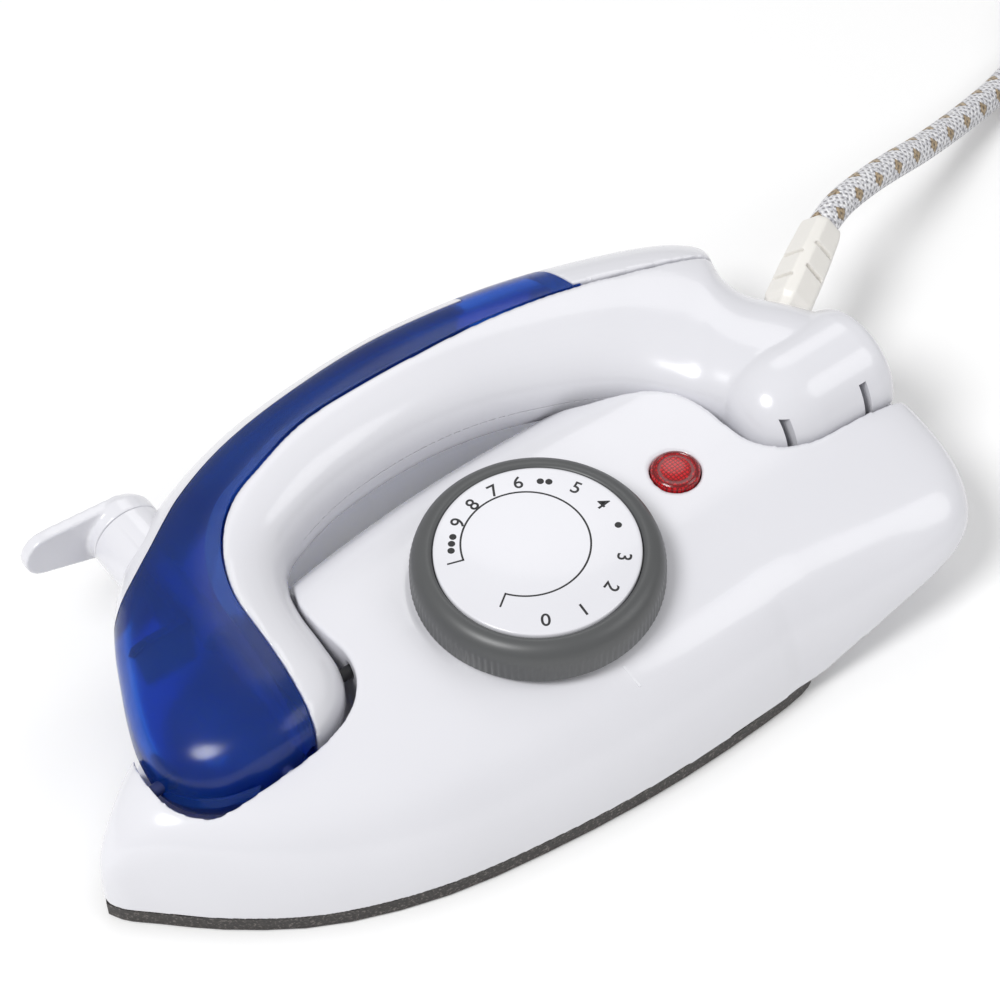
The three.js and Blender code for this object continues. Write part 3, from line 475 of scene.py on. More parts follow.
def soften(piece, voxel, rounds):
    """Even mesh with its edges rounded off."""
    remesh = piece.modifiers.new("remesh", "REMESH")
    remesh.mode = "VOXEL"
    remesh.voxel_size = voxel * MM
    remesh.use_smooth_shade = True
    smooth = piece.modifiers.new("smooth", "SMOOTH")
    smooth.factor = 0.5
    smooth.iterations = rounds
    return shade(applied(piece))


def shade(piece, angle=None):
    """Smooth shading, with edges sharper than the angle in degrees kept crisp."""
    if angle is None:
        for face in piece.data.polygons:
            face.use_smooth = True
        return piece
    bm = bmesh.new()
    bm.from_mesh(piece.data)
    for face in bm.faces:
        face.smooth = True
    for edge in bm.edges:
        edge.smooth = edge.is_manifold and edge.calc_face_angle(0) < math.radians(angle)
    bm.to_mesh(piece.data)
    bm.free()
    return piece


def settle(piece, body, slot_name, material, *nodes):
    """The piece rides on its body, stands for its CAD nodes and wears its material."""
    piece.data.materials.clear()
    piece.data.materials.append(material)
    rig.ride(piece, body)
    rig.slot(piece, slot_name)
    if nodes:
        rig.replaces(piece, *nodes)
    return piece


# ------------------------------------------------------------------ materials

class Surface:
    """A material's node tree, with short calls for the nodes it needs."""

    def __init__(self, name, color, roughness, **sockets):
        self.material = bpy.data.materials.new(name)
        self.material.use_nodes = True
        self.tree = self.material.node_tree
        self.shader = self.tree.nodes["Principled BSDF"]
        self.shader.inputs["Base Color"].default_value = (*color, 1)
        self.shader.inputs["Roughness"].default_value = roughness
        for label, value in sockets.items():
            self.shader.inputs[label.replace("_", " ")].default_value = value
        self.where = self.node("ShaderNodeTexCoord").outputs["Object"]

    def node(self, kind, **settings):
        made = self.tree.nodes.new(kind)
        for key, value in settings.items():
            setattr(made, key, value)
        return made

    def link(self, source, target):
        self.tree.links.new(source, target)

    def noise(self, scale, detail=3, source=None):
        texture = self.node("ShaderNodeTexNoise")
        texture.inputs["Scale"].default_value = scale
        texture.inputs["Detail"].default_value = detail
        self.link(source or self.where, texture.inputs["Vector"])
        return texture.outputs["Fac"]

    def ramp(self, source, stops):
        made = self.node("ShaderNodeValToRGB")
        elements = made.color_ramp.elements
        while len(elements) < len(stops):
            elements.new(0.5)
        for element, (place, color) in zip(elements, stops):
            element.position = place
            element.color = (*color, 1) if len(color) == 3 else color
        self.link(source, made.inputs["Fac"])
        return made.outputs["Color"]

    def math(self, operation, a, b=0.0):
        made = self.node("ShaderNodeMath", operation=operation)
        for socket, value in zip(made.inputs, (a, b)):
            if isinstance(value, (int, float)):
                socket.default_value = value
            else:
                self.link(value, socket)
        return made.outputs[0]

    def color(self, source):
        self.link(source, self.shader.inputs["Base Color"])

    def roughness(self, source, low, high):
        spread = self.node("ShaderNodeMapRange")
        spread.inputs["To Min"].default_value = low
        spread.inputs["To Max"].default_value = high
        self.link(source, spread.inputs["Value"])
        self.link(spread.outputs[0], self.shader.inputs["Roughness"])

    def bump(self, source, depth, strength=1.0):
        made = self.node("ShaderNodeBump")
        made.inputs["Distance"].default_value = depth * MM
        made.inputs["Strength"].default_value = strength
        self.link(source, made.inputs["Height"])
        self.link(made.outputs[0], self.shader.inputs["Normal"])


def moulded(name, color, roughness, spread=0.04, grain=1400, depth=0.004, **sockets):
    """Moulded plastic: slight flow marks in the colour, a fine skin in the gloss."""
    surface = Surface(name, color, roughness, **sockets)
    darker = tuple(c * (1 - spread) for c in color)
    surface.color(surface.ramp(surface.noise(28, 4), [(0.3, darker), (0.7, color)]))
    surface.roughness(surface.noise(160, 5), roughness * 0.85, roughness * 1.2)
    surface.bump(surface.noise(grain, 2), depth, 0.6)
    return surface.material


def metal(name, color, roughness, brushed=(1, 1, 1)):
    """Bare metal with a fine grain, finer along each axis by its brushed scale."""
    surface = Surface(name, color, roughness, Metallic=1.0)
    stretch = surface.node("ShaderNodeMapping")
    stretch.inputs["Scale"].default_value = brushed
    surface.link(surface.where, stretch.inputs["Vector"])
    grain = surface.noise(600, 4, stretch.outputs[0])
    surface.color(surface.ramp(grain, [(0.3, tuple(c * 0.82 for c in color)), (0.7, color)]))
    surface.roughness(grain, roughness * 0.75, roughness * 1.3)
    surface.bump(grain, 0.006, 0.5)
    return surface.material


def white_gloss():
    return moulded("white_gloss", (0.725, 0.725, 0.765), 0.2, spread=0.03,
                   Coat_Weight=0.35, Coat_Roughness=0.08)


def tank_blue():
    """Clear blue plastic with a faint cloud in it."""
    surface = Surface("tank_blue", (0.012, 0.09, 0.55), 0.1, Transmission_Weight=0.84, IOR=1.4,
                      Specular_IOR_Level=0.32)
    cloud = surface.noise(40, 3)
    surface.color(surface.ramp(cloud, [(0.25, (0.008, 0.08, 0.52)), (0.75, (0.016, 0.15, 0.74))]))
    surface.roughness(surface.noise(220, 4), 0.14, 0.28)
    surface.bump(surface.noise(900, 2), 0.002, 0.4)
    return surface.material


def sole_coating():
    """Dark coating with fine pale specks."""
    surface = Surface("sole_coating", (0.04, 0.035, 0.032), 0.5, Specular_IOR_Level=0.3)
    speck = surface.noise(1700, 2)
    surface.color(surface.ramp(speck, [
        (0.4, (0.022, 0.019, 0.018)), (0.58, (0.04, 0.035, 0.033)), (0.64, (0.1, 0.09, 0.08)),
        (0.74, (0.17, 0.15, 0.14))]))
    surface.roughness(surface.noise(900, 3), 0.32, 0.55)
    surface.bump(speck, 0.03, 0.6)
    return surface.material


def lamp_red():
    """Red lens with a pattern of small cells."""
    surface = Surface("lamp_red", (0.4, 0.002, 0.004), 0.22, Coat_Weight=0.2, Coat_Roughness=0.08)
    cells = surface.node("ShaderNodeTexVoronoi", feature="DISTANCE_TO_EDGE")
    cells.inputs["Scale"].default_value = 1300
    cells.inputs["Randomness"].default_value = 0.15
    surface.link(surface.where, cells.inputs["Vector"])
    surface.color(surface.ramp(cells.outputs["Distance"], [
        (0.06, (0.14, 0.001, 0.003)), (0.2, (0.55, 0.003, 0.008))]))
    surface.bump(cells.outputs["Distance"], 0.05, 0.5)
    return surface.material


def braid_white():
    """Woven cover: two sets of crossing strands, a few of them tan, with painted shade darkening the grooves between
    strands.
    """
    surface = Surface("braid_white", (0.75, 0.73, 0.7), 0.62, Sheen_Weight=0.25)
    uv = surface.node("ShaderNodeTexCoord").outputs["UV"]
    split = surface.node("ShaderNodeSeparateXYZ")
    surface.link(uv, split.inputs[0])
    along, round_about = split.outputs["X"], split.outputs["Y"]
    strands = 10
    turns = surface.math("MULTIPLY", round_about, strands)
    run = surface.math("MULTIPLY", along, strands * 0.4)
    rising = surface.math("ADD", turns, run)
    falling = surface.math("SUBTRACT", turns, run)
    crest_a = surface.math("ABSOLUTE", surface.math("SINE", surface.math("MULTIPLY", rising, math.pi)))
    crest_b = surface.math("ABSOLUTE", surface.math("SINE", surface.math("MULTIPLY", falling, math.pi)))
    crest = surface.math("MAXIMUM", crest_a, crest_b)
    group, dyed = strands / 2, 2
    tan_a = surface.math("LESS_THAN", surface.math("FLOORED_MODULO", rising, group), dyed)
    tan_b = surface.math("LESS_THAN", surface.math("FLOORED_MODULO", falling, group), dyed)
    tan = surface.math("MULTIPLY", tan_a, tan_b)
    fibre = surface.noise(1500, 4)
    pale = surface.ramp(fibre, [
        (0.3, (0.38, 0.38, 0.42)), (0.5, (0.7, 0.7, 0.73)), (0.66, (0.92, 0.92, 0.93))])
    brown = surface.ramp(fibre, [(0.35, (0.2, 0.14, 0.07)), (0.65, (0.5, 0.38, 0.24))])
    mixed = surface.node("ShaderNodeMix", data_type="RGBA")
    surface.link(tan, mixed.inputs["Factor"])
    surface.link(pale, mixed.inputs["A"])
    surface.link(brown, mixed.inputs["B"])
    # Painted shade: the colour is darkened where the strands dip, in the grooves between them.
    painted_groove_shade = surface.node("ShaderNodeMix", data_type="RGBA", blend_type="MULTIPLY")
    painted_groove_shade.inputs["Factor"].default_value = 0.8
    surface.link(mixed.outputs["Result"], painted_groove_shade.inputs["A"])
    surface.link(surface.ramp(crest, [(0.4, (0.2, 0.19, 0.2)), (0.85, (1, 1, 1))]), painted_groove_shade.inputs["B"])
    surface.color(painted_groove_shade.outputs["Result"])
    surface.bump(crest, 0.35, 0.9)
    return surface.material


# ------------------------------------------------------------------ body housing

def bottom_at(x):
    """Height of the housing's lower rim, which rises behind the soleplate."""
    return HOUSING_Z + max(0, x - SOLE_HEEL_X) * HEEL_RISE


CROWN_LINE = smooth_line(CROWN, 7)
HALF_LINE = smooth_line(SOLE_SIDE, 8) + smooth_line(HEEL_SIDE, 8)
LEFT_LINE = smooth_line(LEFT_SECTION, 4)
RIGHT_LINE = smooth_line(RIGHT_SECTION, 4)


def half_width_at(x):
    return reading(HALF_LINE, x) + (0.4 if x < 66 else 0)


def housing_ring(x, inset=0, opened=False):
    """Section across the housing; an opened one runs down through the soleplate's opening."""
    foot = bottom_at(x) + (0 if opened else inset)
    crown = reading(CROWN_LINE, x) - inset
    half = max(0.4, half_width_at(x) - inset)
    left = [(x, -half * w, foot + (crown - foot) * h) for w, h in LEFT_LINE]
    right = [(x, half * w, foot + (crown - foot) * h) for w, h in RIGHT_LINE[:-1]]
    keel_half = half if opened else min(KEEL_HALF - inset, half * 0.5)
    keel = -4 if opened else min(bottom_at(x), KEEL_Z) + inset
    return [(x, -keel_half, keel), *left, *reversed(right), (x, keel_half, keel)]


def handle_room(extra):
    """Space for the folded and the raised handle, grown by a wall."""
    front = [(x + (extra if x > -36 else -extra), y - (extra if y < -3 else 0)) for x, y in FRONT_WELL]
    rear = [(x - 0.8 * extra, y - 0.6 * extra) for x, y in REAR_WELL]
    front = [p[:2] for p in smooth_line(front, 4)]
    rear = [p[:2] for p in smooth_line(rear, 4)]
    floor = WELL_FLOOR - extra
    room = prism("room", [(-8, 31), *front, (-56 - extra, 70), (-2, 70)], floor, 60)
    open_side = [*rear, (131, rear[-1][1]), (131, 70), (58, 70)]
    room = join(room, prism("room_rear", open_side, floor, 60))
    turned = [(max(0, r + (extra if r else 0)), x - (extra if x < 100 else 0)) for x, r in CRADLE]
    profile = [*smooth_line(turned[:7], 3), turned[7], (0, 130)]
    room = join(room, lathe("cradle", profile, 72, along_fold))
    top = block("room_top", (84.9 - extra, FOLD_Y - 12.6 - extra, 36.5), (131, FOLD_Y + 12.6 + extra, 66))
    return join(room, top)


def make_housing(material):
    """Hollow moulding with the handle's room, the dial's recess and the holes cut out."""
    stations = [x for x, z in CROWN_LINE]
    shell = loft("housing_shell", [housing_ring(x) for x in stations])
    inner = [housing_ring(x, WALL, True) for x in stations if -72 < x < 72]
    inner += [housing_ring(SOLE_HEEL_X + 0.4, WALL, True), housing_ring(SOLE_HEEL_X + 0.6, WALL)]
    inner += [housing_ring(x, WALL) for x in stations if 80 < x < 120]
    hollow = cut(loft("hollow", inner), handle_room(WALL))
    shell = cut(cut(shell, hollow), handle_room(0))
    shell = cut(shell, rod("spindle_hole", (DIAL_X, DIAL_Y, 20), (DIAL_X, DIAL_Y, 60), 5.6))
    recess = rod("dial_recess", (DIAL_X, DIAL_Y, DIAL_LOW - GAP), (DIAL_X, DIAL_Y, 60), DIAL_R + 0.8, 128)
    shell = cut(shell, recess)
    shell = cut(shell, rod("lamp_hole", (LAMP_X, LAMP_Y, 20), (LAMP_X, LAMP_Y, 60), LAMP_R + 0.25, 64))
    shell = cut(shell, rod("pin_hole", (-61.6, FOLD_Y, FOLD_Z), (-8, FOLD_Y, FOLD_Z), 1.6, 24))
    for x in POST_X:
        shell = cut(shell, block("post_slot", (x - 1.1, FOLD_Y - 3.3, 10), (x + 1.1, FOLD_Y + 3.3, 20)))
    soften(shell, voxel=0.42, rounds=12)
    return settle(shell, "body", "white_plastic", material, "body_housing")


# ------------------------------------------------------------------ handle

ACROSS_LINE = smooth_line(HANDLE_ACROSS, 5)
RING_SIDES = 56
RING_POWER = 2.25          # of the superellipse: 2 is an ellipse, more is squarer
LIP_REACH = 34             # height over which the lip fades out
FOOT_LIP = 1.1             # the tank's lower half stands this far outside the CAD tank at its foot


def handle_ring(row, inset, lip=0):
    """Rounded section; a lip widens the lower half towards the foot."""
    inner, outer, half = Vector(row[0:2]), Vector(row[2:4]), row[4]
    lip *= max(0, 1 - (outer.y - ACROSS_LINE[0][3]) / LIP_REACH)
    middle = (inner + outer) / 2
    reach = (outer - inner).length / 2
    way = (outer - inner).normalized()
    ring = []
    for i in range(RING_SIDES):
        a = math.tau * (i + 0.5) / RING_SIDES
        c = math.copysign(abs(math.cos(a)) ** (2 / RING_POWER), math.cos(a))
        s = math.copysign(abs(math.sin(a)) ** (2 / RING_POWER), math.sin(a))
        grow = lip if s < 0 else 0
        p = middle + way * (max(1, reach - inset) * c + grow * max(c, 0))
        ring.append((p.x, p.y - grow, FOLD_Z + max(1, half - inset) * s))
    return ring


def handle_form(inset, name="handle_form", lip=0):
    """Whole outer form of the handle with its barrel, drawn in by an inset."""
    r = BARREL_R - inset
    profile = smooth_line([
        (0, 87 + inset), (r * 0.35, 87.4 + inset * 0.8), (r * 0.62, 89 + inset * 0.6),
        (r * 0.84, 92.4 + inset * 0.3), (r * 0.96, 97), (r, 101)], 4)
    profile += smooth_line([(r, 117 - inset), (r * 0.93, 120.4 - inset), (r * 0.6, 123 - inset)], 4)
    profile += [(0, 123.6 - inset)]
    barrel = lathe("barrel", profile, 96, along_fold)
    return join(loft(name, [handle_ring(row, inset, lip) for row in ACROSS_LINE]), barrel)


def region(name, line, closing):
    """Upright solid that parts the handle along a seam line."""
    return prism(name, [*[p[:2] for p in smooth_line(line, 5)], *closing], -5, 75)


def tank_region():
    return region("tank_region", TANK_GRIP, [(78, 58), (76, 90), (-90, 90), (-90, -14)])


def spine_region():
    return region("spine_region", SPINE_INNER, [(59.4, 90), (-90, 90), (-62, 33.6)])


def cap_region():
    return region("cap_region", CAP_SEAM, [(122, 90), (76.3, 90), (78.3, 58)])


def post_slot(x):
    """Way round the barrel for a hinge post, a quarter turn long."""
    near, far = x - SLOT_BLOCK, x + SLOT_BLOCK
    ring = rod("slot", (x - SLOT_HALF, FOLD_Y, FOLD_Z), (x + SLOT_HALF, FOLD_Y, FOLD_Z), BARREL_R + 3, 48)
    top = block("keep_top", (near, FOLD_Y - 20, FOLD_Z + 8.6), (far, FOLD_Y + 20, FOLD_Z + 40))
    back = block("keep_back", (near, FOLD_Y + 4.4, FOLD_Z - 30), (far, FOLD_Y + 30, FOLD_Z + 30))
    return cut(cut(ring, top), back)


def parting_groove(form):
    """Thin groove where the two halves of a moulding meet."""
    slab = block("parting", (-90, -40, FOLD_Z - 0.12), (140, 90, FOLD_Z + 0.12))
    return cut(common(slab, form, True), handle_form(0.35))


def make_tank_inside(dark, pale):
    """Valve sleeve and baffle that show through the tank."""
    sleeve = rod("valve_sleeve", (LEVER_X, 24, FOLD_Z), (LEVER_X, 53.4, FOLD_Z), 3.4, 32)
    cut(sleeve, rod("sleeve_bore", (LEVER_X, 20, FOLD_Z), (LEVER_X, 60, FOLD_Z), LEVER_BORE_R, 24))
    settle(shade(sleeve, 40), "handle", "blue_tank", pale)
    baffle = join(block("tank_baffle", (-46, 27, 22), (-33.4, 28.6, 35)),
                  block("leg", (-35, 27, 22), (-33.4, 41, 35)))
    settle(baffle, "handle", "blue_tank", dark)
    nub = shade(rod("foot_nub", (-35.3, -8.6, 27), (-35.3, -11.4, 27), 1.3, 24), 40)
    settle(nub, "handle", "grey_plastic", pale)


def lever_bore():
    return rod("lever_bore", (LEVER_X, -20, FOLD_Z), (LEVER_X, 75, FOLD_Z), LEVER_BORE_R, 24)


def make_handle(white, blue):
    """Grip with its barrel, clear tank, spine strip with the lever's boss, and rear cap."""
    form = handle_form(0)
    tank_zone, spine_zone, cap_zone = tank_region(), spine_region(), cap_region()

    grip = copy_of(form, "grip_shell")
    cut(grip, shifted(tank_zone, GAP, -GAP))
    cut(grip, shifted(cap_zone, -0.1, -GAP))
    cut(grip, rod("axle_bore", (89, FOLD_Y, FOLD_Z), (121, FOLD_Y, FOLD_Z), AXLE_BORE_R, 48))
    cut(grip, rod("pin_bore", (-22, FOLD_Y, FOLD_Z), (-8, FOLD_Y, FOLD_Z), 1.7, 24))
    soften(grip, voxel=0.5, rounds=7)
    for x in POST_X:
        cut(grip, post_slot(x))
    cut(grip, parting_groove(form))
    shade(grip, 40)
    settle(grip, "handle", "white_plastic", white, "grip_upper", "grip_lower")

    bed = cut(common(handle_form(-1, "bed"), spine_zone, True), handle_form(2.3))
    tank = common(handle_form(0, "tank_shell", FOOT_LIP), tank_zone, True)
    cut(cut(tank, cap_zone, True), bed)
    cut(tank, parting_groove(form))
    chamber = common(handle_form(3.6), shifted(tank_zone, -2.6, 2.2))
    cut(tank, cut(chamber, shifted(cap_zone, -3, 0)))
    cut(tank, lever_bore())
    shade(tank, 32)
    settle(tank, "handle", "blue_tank", blue, "tank_upper", "tank_lower")

    strip = common(cut(copy_of(form, "spine_shell"), handle_form(1.8)), shifted(spine_zone, -0.1, 0.35))
    boss = rod("boss", (LEVER_X, 44, FOLD_Z), (LEVER_X, LEVER_ROOT - GAP, FOLD_Z), LEVER_R, 64)
    join(strip, cut(boss, handle_form(1.8)))
    cut(strip, lever_bore())
    shade(strip, 35)
    settle(strip, "handle", "white_plastic", white, "spine_strip")

    cap = common(cut(copy_of(form, "cap_shell"), handle_form(2.2)), shifted(cap_zone, GAP, GAP))
    soften(cap, voxel=0.45, rounds=4)
    settle(cap, "handle", "white_plastic", white, "rear_cap")
    for used in (form, tank_zone, spine_zone, cap_zone):
        bpy.data.objects.remove(used)


def softened_node(node, name, voxel, rounds, body, slot_name, material):
    """A CAD piece's own shape with its edges rounded as moulded."""
    return settle(
        soften(copy_of(frame["nodes"][node], name), voxel, rounds), body, slot_name, material, node)


RELIEF_FROM, RELIEF_TO = Vector((109, 16.8, FOLD_Z)), Vector((140.4, 36, FOLD_Z))
RELIEF_WIDTHS = [(0, 3.7), (0.3, 3.7), (0.34, 4.7), (0.6, 4.65), (0.75, 4.5), (0.97, 4.15), (1, 3.9)]
RELIEF_CORNER = 0.6
RELIEF_TURN = math.radians(-41.5)   # about the boot's own axis; the CAD boot isn't turned


def make_relief(material):
    """Square boot with rounded edges and bend slots on alternate sides."""
    way = (RELIEF_TO - RELIEF_FROM).normalized()
    turn = Matrix.Rotation(RELIEF_TURN, 3, way)
    side, up = turn @ Vector((-way.y, way.x, 0)), turn @ Vector((0, 0, 1))
    c = RELIEF_CORNER
    corners = [(1, c), (c, 1), (-c, 1), (-1, c), (-1, -c), (-c, -1), (c, -1), (1, -c)]
    relief = loft("relief_boot", [
        [tuple(RELIEF_FROM.lerp(RELIEF_TO, share) + (side * u + up * w) * half) for u, w in corners]
        for share, half in RELIEF_WIDTHS])
    for share, out, across in ((0.47, up, side), (0.57, side, up), (0.67, up, side), (0.77, side, up)):
        middle = RELIEF_FROM.lerp(RELIEF_TO, share)
        for sign in (-1, 1):
            cut(relief, slot_block(middle + out * sign * 4.6, way, across, out * sign))
    cut(relief, rod("relief_bore", tuple(RELIEF_FROM), tuple(RELIEF_TO + way), 2.2))
    cut(relief, rod("cord_seat", tuple(RELIEF_FROM.lerp(RELIEF_TO, 0.88)), tuple(RELIEF_TO + way), 3.5))
    soften(relief, voxel=0.28, rounds=3)
    return settle(relief, "handle", "ivory_plastic", material, "strain_relief")


def slot_block(centre, way, across, out):
    """Cutter for one bend slot in a side of the boot."""
    ends = []
    for w in (-0.55, 0.55):
        ends.append([
            tuple(centre + way * w + across * a + out * b)
            for a, b in ((-2.9, -1.2), (2.9, -1.2), (2.9, 2), (-2.9, 2))])
    return loft("relief_slot", ends)


# ------------------------------------------------------------------ dial and lamp

RIBS = 120
RIB_DEPTH = 0.22


def make_dial(grey, white, ink):
    """Ribbed ring and printed disc."""
    sides = RIBS * 4
    # Radius, height, and share of the rib depth.
    profile = [
        (DIAL_R - 1.2, DIAL_LOW, 0), (DIAL_R - 0.15, DIAL_LOW, 0.2), (DIAL_R, DIAL_LOW + 0.4, 1),
        (DIAL_R, DIAL_TOP - 4.4, 1), (DIAL_R - 0.1, DIAL_TOP - 3.9, 0.5), (DIAL_R - 0.3, DIAL_TOP - 3.2, 0),
        (DIAL_R - 0.7, DIAL_TOP - 2, 0), (DIAL_R - 1.5, DIAL_TOP - 0.9, 0),
        (DIAL_R - 2.6, DIAL_TOP - 0.25, 0), (DIAL_R - 3.6, DIAL_TOP, 0),
        (DISC_R + 0.35, DIAL_TOP - 0.05, 0), (DISC_R, DIAL_TOP - 0.4, 0),
        (DISC_R, DIAL_TOP - 1.6, 0), (6, DIAL_TOP - 1.6, 0), (6, DIAL_TOP - 3.4, 0),
        (DIAL_R - 3, DIAL_TOP - 3.4, 0), (DIAL_R - 2.6, DIAL_LOW, 0),
    ]
    rings = []
    for r, z, deep in profile:
        ring = []
        for i in range(sides):
            t = math.tau * i / sides
            dip = RIB_DEPTH * deep * (0.5 - 0.5 * math.cos(RIBS * t))
            ring.append((DIAL_X + (r - dip) * math.cos(t), DIAL_Y + (r - dip) * math.sin(t), z))
        rings.append(ring)
    ring = shade(loft("dial_grip", rings, closed=True), 50)
    settle(ring, "dial", "grey_plastic", grey, "dial_ring")

    face = [(0, DIAL_TOP - 1.3), (20.7, DIAL_TOP - 1.3), (21, DIAL_TOP - 1.1), (21, DIAL_TOP + 0.05),
            (20.8, DIAL_TOP + 0.22), (20.4, DIAL_TOP + 0.3), (0, DIAL_TOP + 0.3)]
    disc = shade(lathe("dial_disc", face, 128, upright(DIAL_X, DIAL_Y)), 50)
    settle(disc, "dial", "white_plastic", white, "dial_face")
    make_print(ink)


ARC_R = 13.1
ARC_FROM, ARC_TO = math.radians(-145), math.radians(161)
ARC_SHIFT = (-1, 2.6)      # the printed arc isn't quite in the disc's middle
PRINT_Z = DIAL_TOP + 0.31
PRINT_LOW = PRINT_Z - 0.02
LINE_HALF = 0.2
MARKS_R = 17.3             # circle of the dots and numbers


def make_print(ink):
    """Printed marks: an open arc with a tick at each end, dots and plain numbers."""
    cx, cy = DIAL_X + ARC_SHIFT[0], DIAL_Y + ARC_SHIFT[1]
    marks = []
    steps = 96
    line = [ARC_FROM + (ARC_TO - ARC_FROM) * i / steps for i in range(steps + 1)]
    inner = [(cx + (ARC_R - LINE_HALF) * math.cos(t), cy + (ARC_R - LINE_HALF) * math.sin(t)) for t in line]
    outer = [(cx + (ARC_R + LINE_HALF) * math.cos(t), cy + (ARC_R + LINE_HALF) * math.sin(t)) for t in line]
    marks.append(prism("arc", inner + outer[::-1], PRINT_LOW, PRINT_Z))
    for t in (ARC_FROM, ARC_TO):
        a, b = Vector((math.cos(t), math.sin(t))), Vector((-math.sin(t), math.cos(t))) * LINE_HALF
        middle = Vector((cx, cy))
        corners = [middle + a * (ARC_R - LINE_HALF) - b, middle + a * (ARC_R + 3.4) - b,
                   middle + a * (ARC_R + 3.4) + b, middle + a * (ARC_R - LINE_HALF) + b]
        marks.append(prism("tick", [tuple(c) for c in corners], PRINT_LOW, PRINT_Z))
    dot_r = 0.75
    for degrees, rows in ((138, 3), (48, 2), (-17, 1)):
        for i in range(rows):
            t = math.radians(degrees + (i - (rows - 1) / 2) * 5.8)
            x, y = DIAL_X + MARKS_R * math.cos(t), DIAL_Y + MARKS_R * math.sin(t)
            dot = [(x + dot_r * math.cos(math.tau * k / 20), y + dot_r * math.sin(math.tau * k / 20))
                   for k in range(20)]
            marks.append(prism("dot", dot, PRINT_LOW, PRINT_Z))
    for number, degrees in enumerate((-122, -96, -70, -44, 4, 26, 66, 84, 102, 120)):
        marks.append(make_digit(str(number), math.radians(degrees)))
    joined = bmesh.new()
    for mark in marks:
        joined.from_mesh(mark.data)
        bpy.data.objects.remove(mark)
    data = bpy.data.meshes.new("dial_print")
    joined.to_mesh(data)
    joined.free()
    made = bpy.data.objects.new("dial_print", data)
    bpy.context.scene.collection.objects.link(made)
    settle(made, "dial", "black_plastic", ink)


def make_digit(text, angle):
    """A number that faces outwards on the disc, as a thin mesh."""
    curve = bpy.data.curves.new("digit", "FONT")
    curve.body = text
    curve.size = 4.2 * MM
    curve.align_x = "CENTER"
    curve.align_y = "CENTER"
    curve.extrude = 0.01 * MM
    curve.offset = 0.05 * MM
    source = bpy.data.objects.new("digit_source", curve)
    bpy.context.scene.collection.objects.link(source)
    bpy.context.view_layer.update()
    graph = bpy.context.evaluated_depsgraph_get()
    data = bpy.data.meshes.new_from_object(source.evaluated_get(graph))
    bpy.data.objects.remove(source)
    made = bpy.data.objects.new("digit", data)
    bpy.context.scene.collection.objects.link(made)
    x, y = DIAL_X + MARKS_R * math.cos(angle), DIAL_Y + MARKS_R * math.sin(angle)
    data.transform(Matrix.Translation(Vector((x, y, PRINT_Z - 0.01)) * MM)
                   @ Matrix.Rotation(angle - math.pi / 2, 4, "Z"))
    return made


def make_lamp(red):
    """Low domed lens with a raised rim."""
    base = 31.2
    profile = [(0, base), (LAMP_R, base), (LAMP_R, base + 3.3), (LAMP_R - 0.3, base + 3.75),
               (LAMP_R - 0.8, base + 3.95), (LAMP_R - 1.1, base + 3.7), (3, base + 4), (1.5, base + 4.15),
               (0, base + 4.2)]
    lens = shade(lathe("lamp_dome", profile, 72, upright(LAMP_X, LAMP_Y)), 60)
    settle(lens, "body", "red_lens", red, "lamp_lens")


def make_pins(blue, dark):
    """Two pins on the fold axis, ahead of and behind the handle's foot."""
    for name, node, look in (("nose_pin", "front_pin_nose", blue), ("heel_pin", "front_pin_rear", dark)):
        low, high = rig.box(node)
        pin = rod(name, (low.x / MM, FOLD_Y, FOLD_Z), (high.x / MM, FOLD_Y, FOLD_Z), PIN_R, 32)
        settle(shade(pin, 40), "body", "steel", look, node)


def make_pointer(white):
    """Small raised mark on the housing, beside the dial."""
    rings = []
    for x, y, wide in ((30.6, -31.6, 1.2), (31.4, -36, 1.1)):
        share = abs(y) / half_width_at(x)
        low, crown = bottom_at(x), reading(CROWN_LINE, x)
        heights = sorted((w, h) for w, h in LEFT_SECTION)
        z = low + (crown - low) * reading(heights, share) + 0.35
        rings.append([(x - wide / 2, y, z - 1.4), (x + wide / 2, y, z - 1.4), (x + wide / 4, y, z),
                      (x - wide / 4, y, z)])
    settle(loft("pointer_mark", rings), "body", "white_plastic", white)


# ------------------------------------------------------------------ cord

COIL_OUT, COIL_PITCH = 48.8, 6.9
COIL_LOW, COIL_HIGH = 3.5, 10.4
COIL_TURNS, TURN_STEPS = 6, 24


def ease(share):
    """Gentle start and end for a share from 0 to 1."""
    return share * share * (3 - 2 * share)


def coil_line():
    """Turns of the stored length: a spiral in, up one layer, and a spiral out."""
    spots = [(125, 51.7, COIL_LOW), (112, 50.4, COIL_LOW), (100, 49.4, COIL_LOW)]
    inner = COIL_OUT - 3 * COIL_PITCH
    for i in range(COIL_TURNS * TURN_STEPS + 1):
        turn = i / TURN_STEPS
        climb = ease(min(1, max(0, (turn - 3) * 4)))
        radius = max(COIL_OUT - COIL_PITCH * turn, inner, inner + COIL_PITCH * (turn - 3.25))
        spots.append((90 - 360 * turn, radius, COIL_LOW + (COIL_HIGH - COIL_LOW) * climb))
    spots += [(70, 50.8, 10), (60, 53.2, 8.8)]
    return [(COIL_X + r * math.cos(math.radians(t)), COIL_Y + r * math.sin(math.radians(t)), z)
            for t, r, z in spots]


def make_tie(material):
    """Band round the coil where it lies nearest the iron."""
    low = (COIL_X - COIL_OUT - 2.6, COIL_Y - 5, 0.02)
    high = (COIL_X - 25.2, COIL_Y + 5, COIL_HIGH + CORD_R + 1.9)
    room_low = (low[0] + 1.6, COIL_Y - 8, -0.5)
    room_high = (high[0] - 1.6, COIL_Y + 8, high[2] - 1.7)
    band = cut(block("tie_band", low, high), block("tie_room", room_low, room_high))
    soften(band, voxel=0.3, rounds=3)
    return settle(band, "body", "black_plastic", material, "cord_tie")


